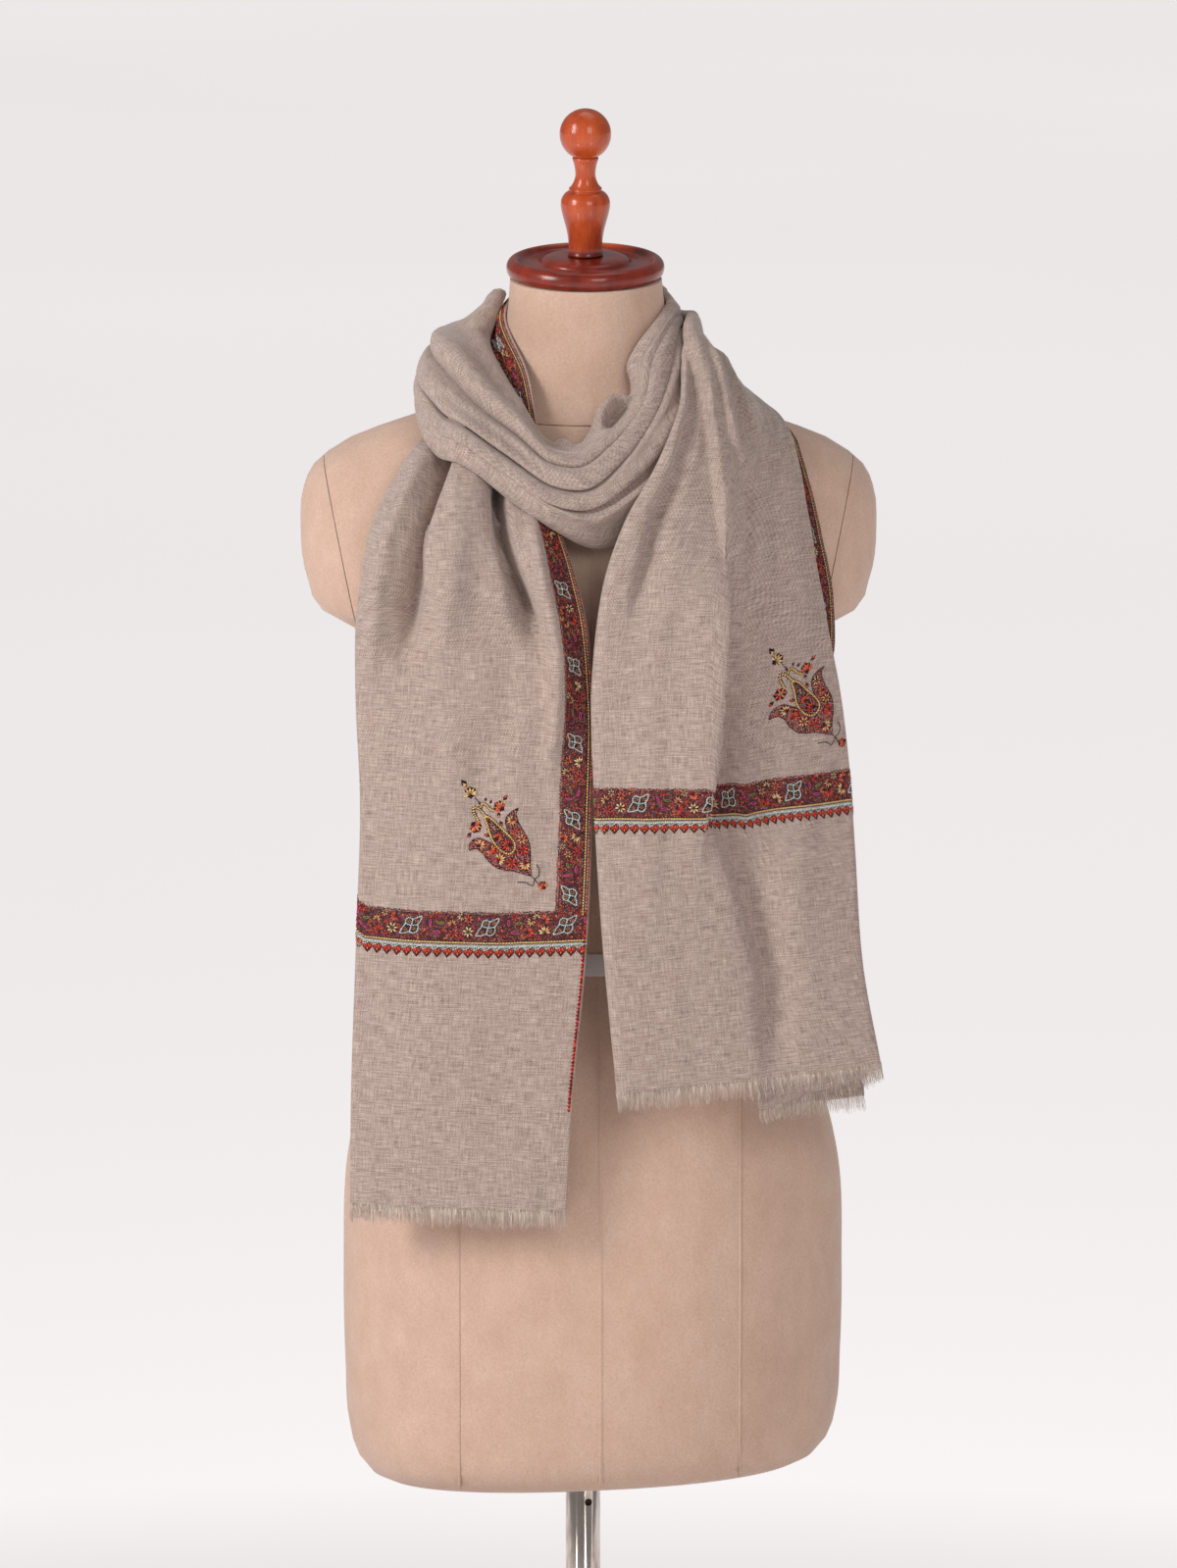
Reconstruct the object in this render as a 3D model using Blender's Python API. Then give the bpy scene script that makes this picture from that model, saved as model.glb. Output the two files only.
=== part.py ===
# A pashmina shawl wound once round the neck of a limbless dress form on a pole stand.
# Metres, +Z up. The origin is on the floor under the pole, and -Y is the front.
# Tables are in millimetres. A height on the form is measured from the form's hem.
import math
import random

import bmesh
import bpy
import numpy as np
from mathutils import Vector
from mathutils.bvhtree import BVHTree

MM = 0.001
SEAM = 0.3  # gap between pieces that meet
FORM_BASE = 420  # floor to the hem of the form
FORM_SIDES = 32
HEM_TILT = 0.045  # the hem rises towards +X
HEM_TILT_REACH = 150
LONG_STEP = 40  # a longer step between two rows of the form gets a level halfway
ARM_CAP_FOOT = 600
SHARP_EDGE = math.radians(40)
ON_PLANE = 0.001

POLE_X = -4
POLE_RADIUS = 12.5
COLLAR_RADIUS = 13.3
COLLAR_HEIGHT = 5
COLLAR_EDGE = 0.8
BASE_SIDES = 36
POLE_SIDES = 20
CAP_SIDES = 24
FINIAL_SIDES = 14

CAP_LEAN = math.radians(8)  # the neck and its cap lean towards the front
NECK_SEAM_FRONT = (0, -50, 1174)
NECK_SEAM_RISE = math.radians(20)
NECK_TOP_FRONT = (0, -45, 1268.5)
ARMHOLE = (177, 0, 1099)
ARMHOLE_LEAN = math.radians(-12)  # its head lies further out than its foot

TAPE_LOW = 369
TAPE_HIGH = 385
TAPE_THICK = 0.8

WALL = 1.3  # thickness of the cloth
FORM_LIFT = 1.1  # from the form's facets to the wall of the cloth on it
CLOTH_LIFT = 2.8  # from a lower layer of cloth to the next one
REACH = 60  # how deep a lower layer may lie inside the cloth's first place
SPREAD = 16  # how far across the cloth a push from below is felt
FULL_PUSH = 1.25  # a point this share of SPREAD or nearer to the push moves all the way
CHECKS = 3  # places looked at between two points of the cloth, each way
CLOTH_SEAM = 1.1  # gap between two stretches of the shawl
TRAVEL_STEP = 1  # how far ahead and behind the direction of travel is read
ROLL_STEPS = 4  # points across one roll of the cloth
ROLL_FLAT = 2.4  # how flat the top of a roll is, and how round its shoulders are
ROLL_ROUND = 0.8
TURN_STEPS = 3
UNDER_STEPS = 3
SEAM_ROWS = 4  # stations next to a seam that the following stretch doesn't climb over
LAST_DROP = 20  # how much lower than the front the last layer of the right tail ends
LAST_DROP_REACH = 150

FRINGE_SEAM = 0.4
FRINGE_LENGTH = 9
FRINGE_STRIP = 2.5
FRINGE_PITCH = 3.6
FRINGE_SHARE = 0.6  # width of a strand's root as a share of the pitch
FRINGE_SHORT = 0.75  # length of the shortest strand as a share of the longest
FRINGE_LEAN = 1.6
FRINGE_SEEDS = {"tail_left": 9, "tail_right": 10}

# Half width, reach to the front and to the back, centre and squareness of the form at each height
FORM_ROWS = (
    # name, height, half_width, front, back, centre, square
    ("hem edge", 0, 150, 98, 110, 3, 2.3),
    ("hem round", 5, 160, 108, 121, 3, 2.3),
    ("hem side", 16, 169, 115, 129, 3, 2.3),
    ("low hip", 36, 175, 119, 134, 3, 2.3),
    ("lower hip", 80, 178, 121, 136, 3, 2.3),
    ("hip", 150, 179, 121, 136, 3, 2.3),
    ("high hip", 225, 176, 115, 124, 3, 2.25),
    ("belly", 290, 160, 102, 103, 2, 2.2),
    ("low waist", 335, 141, 93, 88, 1, 2.2),
    ("tape foot", TAPE_LOW, 128, 88, 82, 0, 2.2),
    ("tape head", TAPE_HIGH, 127, 88, 82, 0, 2.2),
    ("ribs", 430, 130, 94, 84, 0, 2.2),
    ("under bust", 480, 140, 110, 88, 0, 2.25),
    ("bust", 550, 151, 128, 94, 0, 2.3),
    ("over bust", 594, 157, 124, 98, 0, 2.3),
    ("arm foot", 609, 168, 119, 99, 0, 2.3),
    ("arm low", 621, 190, 115, 99, 0, 2.35),
    ("arm side", 640, 199, 109, 99, 0, 2.4),
    ("arm widest", 680, 204.5, 96, 98, 0, 2.4),
    ("arm round", 708, 202, 85, 94, 0, 2.35),
    ("arm top", 723, 195, 78, 89, 0, 2.3),
    ("shoulder tip", 732, 185, 73, 84, 0, 2.2),
    ("shoulder slope", 742, 169, 68, 78, 0, 2.1),
    ("shoulder middle", 750, 149, 63, 73, 0, 2.0),
    ("shoulder high", 757, 128, 59, 69, 0, 2.0),
    ("neck slope", 766, 101, 55, 66, 0, 2.0),
    ("neck foot", 778, 77, 51, 66, -1, 2.0),
    ("neck base", 796, 63, 49, 66, -1, 2.0),
    ("neck middle", 828, 57, 47, 64, -1, 2.0),
    ("neck top", 875, 53.5, 45, 62, -1, 2.0),
)

BASE_PROFILE = (
    # radius, height: the plate, then the hub that holds the pole
    (170, 0),
    (170, 4),
    (168, 6),
    (36, 11),
    (30, 15),
    (27, 32),
    (25, 34),
)

CAP_PROFILE = (
    # radius, height along the leaning axis
    (50, 0),
    (54.5, 1),
    (56, 5.5),
    (54.5, 10.5),
    (51, 12.9),
    (48.5, 12.6),
    (46, 9.8),
    (43, 8.7),
    (33, 9.2),
    (31, 11.6),
    (28, 13.4),
    (20, 14.6),
)

FINIAL_PROFILE = (
    # radius, height above the cap
    (12.2, 0),
    (12.6, 1.5),
    (11.8, 4.5),
    (12.2, 11.5),
    (13.6, 19),
    (15.6, 26.5),
    (17.3, 33),
    (17.5, 38.5),
    (16, 42.5),
    (12.4, 45.8),
    (11.6, 48.5),
    (8.6, 52.2),
    (7.3, 56),
    (7.2, 60),
    (8, 65),
    (9.2, 69),
    (8.5, 71.2),
)
BALL_RADIUS = 18.3
BALL_HEIGHT = 87
BALL_STEPS = 8
BALL_CROWN = 0.3  # the part of a step that the flat crown cuts off

# The shawl from one hem to the other. Edge A is its inner or upper edge, edge B its outer or lower one.
# bow is how far the middle stands out, roll the height of each roll of cloth as a share of its width.
# under_a and under_b are the layers turned back at the edges, and gap is the space they take.
# Where edge B is folded twice, the last layer ends this far beyond edge B.
# c1 to c3 are the creases between four rolls, as shares of the width from A.
SHAWL_ROWS = (
    # stretch, name, ax, ay, az, bx, by, bz, bow, roll, under_a, under_b, gap, beyond, c1, c2, c3
    ("tail_left", "hem", -16, -140, 627, -168, -124, 630, 5, 0.0, 0, 140, 8, 0, 0.22, 0.5, 0.78),
    ("tail_left", "low", -12, -141, 705, -167, -125, 710, 6, 0.0, 0, 140, 8, 0, 0.22, 0.5, 0.78),
    ("tail_left", "border", -3, -141, 812, -163, -125, 822, 7, 0.01, 0, 138, 8, 0, 0.22, 0.5, 0.78),
    ("tail_left", "waist", 1, -141, 913, -160, -124, 919, 8, 0.02, 0, 136, 8, 0, 0.24, 0.5, 0.76),
    ("tail_left", "ribs", 2, -140, 988, -163, -121, 1000, 9, 0.03, 0, 134, 8, 0, 0.26, 0.52, 0.76),
    ("tail_left", "bust", -2, -137, 1048, -161, -114, 1062, 11, 0.06, 0, 130, 8, 0, 0.28, 0.55, 0.78),
    ("tail_left", "chest", -11, -129, 1083, -151, -104, 1113, 11, 0.1, 0, 110, 8, 0, 0.3, 0.58, 0.8),
    ("tail_left", "gather", -19, -117, 1106, -134, -84, 1146, 9, 0.14, 0, 70, 8, 0, 0.3, 0.58, 0.8),
    ("tail_left", "tuck", -26, -99, 1135, -118, -58, 1166, 6, 0.12, 0, 40, 7, 0, 0.28, 0.54, 0.78),
    ("neck_wrap", "front", -36, -76, 1166, -100, -40, 1174, 4, 0.08, 0, 30, 6, 0, 0.26, 0.5, 0.75),
    ("neck_wrap", "side", -54, -34, 1212, -92, -6, 1188, 3, 0.1, 0, 22, 5, 0, 0.25, 0.5, 0.75),
    ("neck_wrap", "rise", -60, 2, 1246, -84, 24, 1202, 3, 0.1, 0, 18, 5, 0, 0.25, 0.5, 0.75),
    ("neck_wrap", "behind left", -45, 50, 1266, -60, 70, 1208, 3, 0.1, 0, 18, 5, 0, 0.22, 0.5, 0.75),
    ("neck_wrap", "behind", 0, 69, 1272, 0, 84, 1206, 3, 0.1, 0, 18, 5, 0, 0.2, 0.45, 0.75),
    ("neck_wrap", "behind right", 45, 50, 1270, 58, 66, 1212, 3, 0.1, 0, 18, 5, 0, 0.22, 0.5, 0.75),
    ("neck_wrap", "return", 57, 11, 1261, 69, 25, 1218, 3, 0.14, 6, 16, 6, 0, 0.28, 0.5, 0.72),
    ("loop_front", "turn", 50, -22, 1251, 71, -19, 1212, 4, 0.18, 8, 14, 8, 0, 0.3, 0.5, 0.7),
    ("loop_front", "fall", 31, -54, 1224, 73, -52, 1183, 7, 0.24, 12, 14, 11, 0, 0.32, 0.5, 0.68),
    ("loop_front", "lap", 21, -70, 1196, 66, -86, 1152, 12, 0.28, 14, 14, 13, 0, 0.3, 0.45, 0.6),
    ("loop_front", "drop", 4, -84, 1179, 42, -110, 1116, 17, 0.28, 14, 16, 14, 0, 0.18, 0.33, 0.49),
    ("loop_front", "lowest", -12, -90, 1167, 8, -121, 1098, 20, 0.28, 14, 16, 14, 0, 0.12, 0.33, 0.56),
    ("loop_front", "middle", -30, -86, 1171, -24, -120, 1107, 20, 0.28, 14, 16, 14, 0, 0.16, 0.42, 0.66),
    ("loop_front", "rise", -47, -66, 1194, -66, -112, 1133, 20, 0.27, 14, 16, 14, 0, 0.34, 0.64, 0.84),
    ("loop_front", "climb", -61, -40, 1215, -103, -92, 1153, 19, 0.26, 14, 16, 14, 0, 0.36, 0.68, 0.87),
    ("loop_front", "shoulder", -73, -14, 1236, -122, -54, 1182, 16, 0.24, 14, 16, 14, 0, 0.42, 0.76, 0.9),
    ("wrap_back", "side", -77, 14, 1241, -121, 0, 1198, 11, 0.24, 14, 14, 12, 0, 0.34, 0.62, 0.84),
    ("wrap_back", "over", -70, 44, 1246, -117, 48, 1176, 8, 0.22, 14, 14, 11, 0, 0.3, 0.5, 0.8),
    ("wrap_back", "behind left", -47, 74, 1252, -86, 100, 1136, 7, 0.19, 14, 14, 11, 0, 0.22, 0.44, 0.7),
    ("wrap_back", "behind", 0, 88, 1256, 2, 113, 1116, 7, 0.17, 14, 14, 11, 0, 0.17, 0.4, 0.68),
    ("wrap_back", "behind right", 45, 72, 1247, 87, 97, 1136, 5, 0.16, 14, 14, 10, 0, 0.2, 0.47, 0.76),
    ("wrap_back", "round", 60, 44, 1243, 108, 62, 1177, 3, 0.14, 14, 8, 8, 0, 0.26, 0.5, 0.76),
    ("tail_right", "shoulder", 65, 16, 1246, 99, 33, 1196, 2, 0.12, 20, 24, 8, 3, 0.22, 0.46, 0.72),
    ("tail_right", "over", 66.5, -20, 1244, 126, -13, 1180, 1, 0.1, 24, 36, 8, 5, 0.2, 0.44, 0.7),
    ("tail_right", "collar", 67, -60, 1219, 146, -60, 1152, 4, 0.11, 30, 44, 9, 6, 0.18, 0.42, 0.7),
    ("tail_right", "chest", 60, -96, 1186, 155, -82, 1114, 6, 0.1, 34, 54, 11, 8, 0.18, 0.42, 0.7),
    ("tail_right", "fall", 46, -128, 1151, 162, -97, 1074, 7, 0.1, 38, 64, 12, 7, 0.2, 0.44, 0.7),
    ("tail_right", "bust", 28, -148, 1118, 169, -106, 1035, 8, 0.08, 40, 74, 12, 1, 0.22, 0.46, 0.72),
    ("tail_right", "ribs", 13, -157, 1077, 177, -114, 991, 8, 0.06, 40, 84, 12, -4, 0.24, 0.48, 0.74),
    ("tail_right", "waist", 4, -159, 1010, 183, -119, 940, 8, 0.04, 40, 86, 12, -4, 0.25, 0.5, 0.75),
    ("tail_right", "border", 5, -158, 928, 187, -122, 883, 8, 0.02, 40, 86, 12, 1.5, 0.25, 0.5, 0.75),
    ("tail_right", "low", 10, -157, 838, 192, -124, 809, 7, 0.01, 40, 86, 12, -3, 0.25, 0.5, 0.75),
    ("tail_right", "hem", 21, -155, 713, 206, -126, 730, 5, 0.0, 40, 84, 12, -10, 0.25, 0.5, 0.75),
)

# How many stations a stretch has along it, and how often it is folded back at its edges
STRETCHES = (
    # stretch, stations, folds_a, folds_b
    ("tail_left", 14, 0, 1),
    ("neck_wrap", 15, 0, 1),
    ("loop_front", 20, 1, 1),
    ("wrap_back", 15, 1, 1),
    ("tail_right", 16, 1, 2),
)


def clear_scene():
    for obj in list(bpy.data.objects):
        bpy.data.objects.remove(obj, do_unlink=True)


def material(name, colour, roughness, metallic=0.0):
    made = bpy.data.materials.new(name)
    made.use_nodes = True
    shader = made.node_tree.nodes["Principled BSDF"]
    shader.inputs["Base Color"].default_value = (*colour, 1)
    shader.inputs["Roughness"].default_value = roughness
    shader.inputs["Metallic"].default_value = metallic
    return made


def new_object(name, bm, finish, smooth=True):
    """A node from a bmesh in millimetres, with its faces pointing out."""
    bmesh.ops.scale(bm, vec=(MM, MM, MM), verts=bm.verts)
    if bm.calc_volume(signed=True) < 0:
        bmesh.ops.reverse_faces(bm, faces=bm.faces)
    mesh = bpy.data.meshes.new(name)
    bm.to_mesh(mesh)
    bm.free()
    if smooth:
        mesh.shade_smooth()
        mesh.set_sharp_from_angle(angle=SHARP_EDGE)
    mesh.materials.append(finish)
    obj = bpy.data.objects.new(name, mesh)
    bpy.context.scene.collection.objects.link(obj)
    return obj


def slopes(at, values):
    """The slope at each row of a smooth curve through the rows."""
    step = np.diff(at)[:, None]
    rate = np.diff(values, axis=0) / step
    inner = (rate[1:] * step[:-1] + rate[:-1] * step[1:]) / (step[1:] + step[:-1])
    return np.vstack([rate[:1], inner, rate[-1:]])


def smooth_through(at, values, where):
    """The rows' values at other places along a smooth curve."""
    slope = slopes(at, values)
    i = np.clip(np.searchsorted(at, where, side="right") - 1, 0, len(at) - 2)
    step = (at[i + 1] - at[i])[:, None]
    x = ((where - at[i]) / step[:, 0])[:, None]
    start = (1 + 2 * x) * (1 - x) ** 2 * values[i] + x * (1 - x) ** 2 * step * slope[i]
    end = x**2 * (3 - 2 * x) * values[i + 1] + x**2 * (x - 1) * step * slope[i + 1]
    return start + end


def form_ring(row, out=0.0):
    """One level of the form: an ellipse with fuller corners, deeper behind than in front."""
    height, half_width, front, back, centre, square = row
    ring = []
    for k in range(FORM_SIDES):
        turn = 2 * math.pi * k / FORM_SIDES
        c, s = math.cos(turn), math.sin(turn)
        x = (half_width + out) * math.copysign(abs(c) ** (2 / square), c)
        depth = (front if s < 0 else back) + out
        y = depth * math.copysign(abs(s) ** (2 / square), s)
        tilt = HEM_TILT * max(0, 1 - height / HEM_TILT_REACH) * x
        ring.append((centre + x, y, FORM_BASE + height + tilt))
    return ring


def form_levels():
    """The rows with one more level halfway up each long step."""
    rows = np.array([row[1:] for row in FORM_ROWS], float)
    heights = list(rows[:, 0])
    for low, high in zip(rows[:-1, 0], rows[1:, 0]):
        if high - low > LONG_STEP:
            heights.append((low + high) / 2)
    heights = np.array(sorted(heights))
    levels = smooth_through(rows[:, 0], rows, heights)
    levels[:, 0] = heights
    return levels


def loft(rings):
    """Rings of equal count joined into a bmesh, with a flat face at each end."""
    bm = bmesh.new()
    made = [[bm.verts.new(p) for p in ring] for ring in rings]
    for low, high in zip(made[:-1], made[1:]):
        for k in range(len(low)):
            n = (k + 1) % len(low)
            bm.faces.new((low[k], low[n], high[n], high[k]))
    bm.faces.new(list(reversed(made[0])))
    bm.faces.new(made[-1])
    return bm


def keep_side(bm, point, normal):
    """Cuts a closed bmesh with a plane, keeps the side that the normal points away from and closes it."""
    geometry = bm.verts[:] + bm.edges[:] + bm.faces[:]
    cut = bmesh.ops.bisect_plane(
        bm, geom=geometry, plane_co=point, plane_no=normal, clear_outer=True, dist=ON_PLANE
    )
    rim = [e for e in cut["geom_cut"] if isinstance(e, bmesh.types.BMEdge)]
    bmesh.ops.edgeloop_fill(bm, edges=rim)


def keep_arm(bm, point, normal, arm):
    """Cuts a closed bmesh with a plane above the arm's foot only, and keeps the arm or the rest of it."""
    foot = FORM_BASE + ARM_CAP_FOOT
    upper = [f for f in bm.faces if f.calc_center_median().z > foot]
    around = {v for f in upper for v in f.verts} | {e for f in upper for e in f.edges}
    bmesh.ops.bisect_plane(bm, geom=upper + list(around), plane_co=point, plane_no=normal, dist=ON_PLANE)
    dropped = []
    for face in bm.faces:
        middle = face.calc_center_median()
        on_arm = middle.z > foot and (middle - point).dot(normal) > 0
        if on_arm != arm:
            dropped.append(face)
    bmesh.ops.delete(bm, geom=dropped, context="FACES")
    bmesh.ops.edgeloop_fill(bm, edges=[e for e in bm.edges if e.is_boundary])


def form_pieces():
    """The body, the neck and the two arm caps, cut from one lofted shape at their seams."""
    neck_up = Vector((0, -math.sin(NECK_SEAM_RISE), math.cos(NECK_SEAM_RISE)))
    top_up = Vector((0, -math.sin(CAP_LEAN), math.cos(CAP_LEAN)))
    half = SEAM / 2
    rings = [form_ring(level) for level in form_levels()]
    neck_at = Vector(NECK_SEAM_FRONT)
    pieces = {}

    neck = loft(rings)
    keep_side(neck, neck_at + neck_up * half, -neck_up)
    keep_side(neck, Vector(NECK_TOP_FRONT), top_up)
    pieces["form_neck"] = neck

    body = loft(rings)
    keep_side(body, neck_at - neck_up * half, neck_up)
    for side, name in ((-1, "form_arm_cap_left"), (1, "form_arm_cap_right")):
        outward = Vector((side * math.cos(ARMHOLE_LEAN), 0, math.sin(ARMHOLE_LEAN)))
        at = Vector((side * ARMHOLE[0], ARMHOLE[1], ARMHOLE[2]))
        cap = loft(rings)
        keep_side(cap, neck_at - neck_up * half, neck_up)
        keep_arm(cap, at + outward * half, outward, True)
        pieces[name] = cap
        keep_arm(body, at - outward * half, outward, False)
    pieces["form_body"] = body
    return pieces


def waist_tape():
    """A closed band round the waist, made from the form's own levels moved out."""
    rows = {row[0]: row[1:] for row in FORM_ROWS}
    low, high = rows["tape foot"], rows["tape head"]
    inner = SEAM
    outer = SEAM + TAPE_THICK
    rings = [form_ring(low, inner), form_ring(low, outer)]
    rings += [form_ring(high, outer), form_ring(high, inner)]
    bm = bmesh.new()
    made = [[bm.verts.new(p) for p in ring] for ring in rings]
    for a, b in zip(made, made[1:] + made[:1]):
        for k in range(FORM_SIDES):
            n = (k + 1) % FORM_SIDES
            bm.faces.new((a[k], a[n], b[n], b[k]))
    return bm


def turned(profile, sides, foot, lean=0.0):
    """A turned piece: the profile runs from its foot up, round an axis that leans to the front."""
    up = Vector((0, -math.sin(lean), math.cos(lean)))
    right = Vector((1, 0, 0))
    front = up.cross(right)
    foot = Vector(foot)
    rings = []
    for radius, height in profile:
        ring = []
        for k in range(sides):
            turn = 2 * math.pi * k / sides
            ring.append(foot + up * height + (right * math.cos(turn) + front * math.sin(turn)) * radius)
        rings.append(ring)
    return loft(rings)


def ball_profile():
    """The ball of the finial, from its neck to a small flat crown."""
    start = math.asin((FINIAL_PROFILE[-1][1] - BALL_HEIGHT) / BALL_RADIUS)
    profile = []
    for k in range(1, BALL_STEPS + 1):
        turn = start + (math.pi / 2 - start) * k / (BALL_STEPS + BALL_CROWN)
        profile.append((BALL_RADIUS * math.cos(turn), BALL_HEIGHT + BALL_RADIUS * math.sin(turn)))
    return profile


def hardware():
    """The wooden cap and finial on the neck, and the pole and round base below."""
    up = Vector((0, -math.sin(CAP_LEAN), math.cos(CAP_LEAN)))
    middle = (FORM_ROWS[-1][4] - FORM_ROWS[-1][3]) / 2
    neck_top = Vector(NECK_TOP_FRONT)
    back = middle - neck_top.y
    neck_top += Vector((FORM_ROWS[-1][5], back, back * math.tan(CAP_LEAN)))
    wood = material("turned wood", (0.23, 0.035, 0.012), 0.15)
    steel = material("bright steel", (0.55, 0.55, 0.56), 0.15, 1.0)
    cap_foot = neck_top + up * SEAM
    cap_height = CAP_PROFILE[-1][1]
    new_object("neck_cap", turned(CAP_PROFILE, CAP_SIDES, cap_foot, CAP_LEAN), wood)
    finial_foot = cap_foot + up * (cap_height + SEAM)
    profile = FINIAL_PROFILE + tuple(ball_profile())
    new_object("finial", turned(profile, FINIAL_SIDES, finial_foot, CAP_LEAN), wood)

    new_object("stand_base", turned(BASE_PROFILE, BASE_SIDES, (POLE_X, 0, 0)), steel)
    hem_drop = HEM_TILT * (COLLAR_RADIUS - POLE_X + FORM_ROWS[0][5])
    collar_foot = FORM_BASE - hem_drop - SEAM - COLLAR_HEIGHT
    pole_foot = BASE_PROFILE[-1][1] + SEAM
    pole = ((POLE_RADIUS, 0), (POLE_RADIUS, collar_foot - SEAM - pole_foot))
    new_object("stand_pole", turned(pole, POLE_SIDES, (POLE_X, 0, pole_foot)), steel)
    collar = (
        (COLLAR_RADIUS - COLLAR_EDGE, 0),
        (COLLAR_RADIUS, COLLAR_EDGE),
        (COLLAR_RADIUS, COLLAR_HEIGHT),
    )
    new_object("stand_collar", turned(collar, POLE_SIDES, (POLE_X, 0, collar_foot)), steel)


def shawl_line():
    """Every row's numbers, and how far along the shawl's middle each row is."""
    values = np.array([row[2:] for row in SHAWL_ROWS], float)
    middle = (values[:, 0:3] + values[:, 3:6]) / 2
    along = np.concatenate([[0], np.cumsum(np.linalg.norm(np.diff(middle, axis=0), axis=1))])
    return along, values


def stretch_span(stretch, along):
    """Where a stretch starts and ends, halfway between its own rows and its neighbours' rows."""
    own = [i for i, row in enumerate(SHAWL_ROWS) if row[0] == stretch]
    first, last = own[0], own[-1]
    start = 0.0 if first == 0 else (along[first - 1] + along[first]) / 2 + CLOTH_SEAM / 2
    end = along[-1] if last == len(along) - 1 else (along[last] + along[last + 1]) / 2 - CLOTH_SEAM / 2
    return start, end


def roll_height(share, outer):
    """The shape of one roll, from crease to crease. A roll at an edge runs on into the turn."""
    if outer:
        return 0.5 - 0.5 * math.cos(2 * math.pi * share)
    return (1 - abs(2 * share - 1) ** ROLL_FLAT) ** ROLL_ROUND


def turn_back(points, edge, radius, depth, folds_out):
    """Adds the half circle in which the cloth turns back, at an edge or at the fold behind it."""
    for k in range(1, TURN_STEPS + 1):
        turn = math.pi * k / TURN_STEPS
        points.append((edge + folds_out * radius * math.sin(turn), depth + radius * (math.cos(turn) - 1)))


def section(row, folds_a, folds_b):
    """The section across the shawl as (distance from A, distance out, share of the last drop)."""
    width = np.linalg.norm(row[3:6] - row[0:3])
    bow, roll, under_a, under_b, gap, beyond = row[6:12]
    radius_a = min(gap, under_a) / 2
    radius_b = min(gap, under_b) / 2 / max(folds_b, 1)
    start = radius_a if folds_a else 0.0
    end = width - (radius_b if folds_b else 0.0)
    creases = [0.0, *row[12:15], 1.0]
    points = []
    if folds_a:
        for k in range(UNDER_STEPS):
            points.append((start + under_a * (1 - k / UNDER_STEPS), -2 * radius_a))
        for k in range(TURN_STEPS):
            turn = math.pi * (1 - k / TURN_STEPS)
            points.append((start - radius_a * math.sin(turn), radius_a * (math.cos(turn) - 1)))
    for number, (low, high) in enumerate(zip(creases[:-1], creases[1:])):
        for k in range(ROLL_STEPS):
            share = k / ROLL_STEPS
            height = roll * (high - low) * width * roll_height(share, number in (0, len(creases) - 2))
            points.append((start + (end - start) * (low + (high - low) * share), height))
    points.append((end, 0.0))
    front = len(points) - 1
    if folds_b:
        turn_back(points, end, radius_b, 0, 1)
        for k in range(1, UNDER_STEPS + 1):
            points.append((end - under_b * k / UNDER_STEPS, -2 * radius_b))
    middle = len(points) - 1
    if folds_b == 2:
        inner = end - under_b
        turn_back(points, inner, radius_b, -2 * radius_b, -1)
        for k in range(1, UNDER_STEPS + 1):
            points.append((inner + (under_b + beyond) * k / UNDER_STEPS, -4 * radius_b))
    length = np.linalg.norm(np.diff(points, axis=0), axis=1)
    reach = np.concatenate([[0], np.cumsum(length)])
    bowed = []
    for (across, out), run in zip(points, reach):
        share = min(max(across / width, 0), 1)
        drop = min(max((run - reach[front]) / (reach[middle] - reach[front]), 0), 1) if folds_b == 2 else 0
        bowed.append((across, out + bow * 4 * share * (1 - share), drop))
    return bowed


def cloth_grid(stretch, stations, folds_a, folds_b, layers):
    """The middle of the cloth's wall in one stretch, as rows of points that lie over the layers below."""
    along, values = shawl_line()
    start, end = stretch_span(stretch, along)
    where = np.linspace(start, end, stations)
    rows = smooth_through(along, values, where)
    ahead = smooth_through(along, values, np.minimum(where + TRAVEL_STEP, along[-1]))
    behind = smooth_through(along, values, np.maximum(where - TRAVEL_STEP, 0))
    grid, outs, shares = [], [], []
    for place, row, fore, aft in zip(where, rows, ahead, behind):
        travel = (fore[0:3] + fore[3:6]) - (aft[0:3] + aft[3:6])
        across = row[3:6] - row[0:3]
        across /= np.linalg.norm(across)
        out = np.cross(travel, across)
        out /= np.linalg.norm(out)
        to_hem = min((along[-1] - place) / LAST_DROP_REACH, 1)
        drop = travel / np.linalg.norm(travel) * LAST_DROP * (1 - to_hem) ** 2
        parts = section(row, folds_a, folds_b)
        grid.append([row[0:3] + across * u + out * n + drop * d for u, n, d in parts])
        shares.append([u for u, n, d in parts])
        outs.append(out)
    grid, outs, shares = np.array(grid), np.array(outs), np.array(shares)
    return grid + outs[:, None, :] * push_out(grid, outs, shares, layers)[:, :, None]


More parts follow.
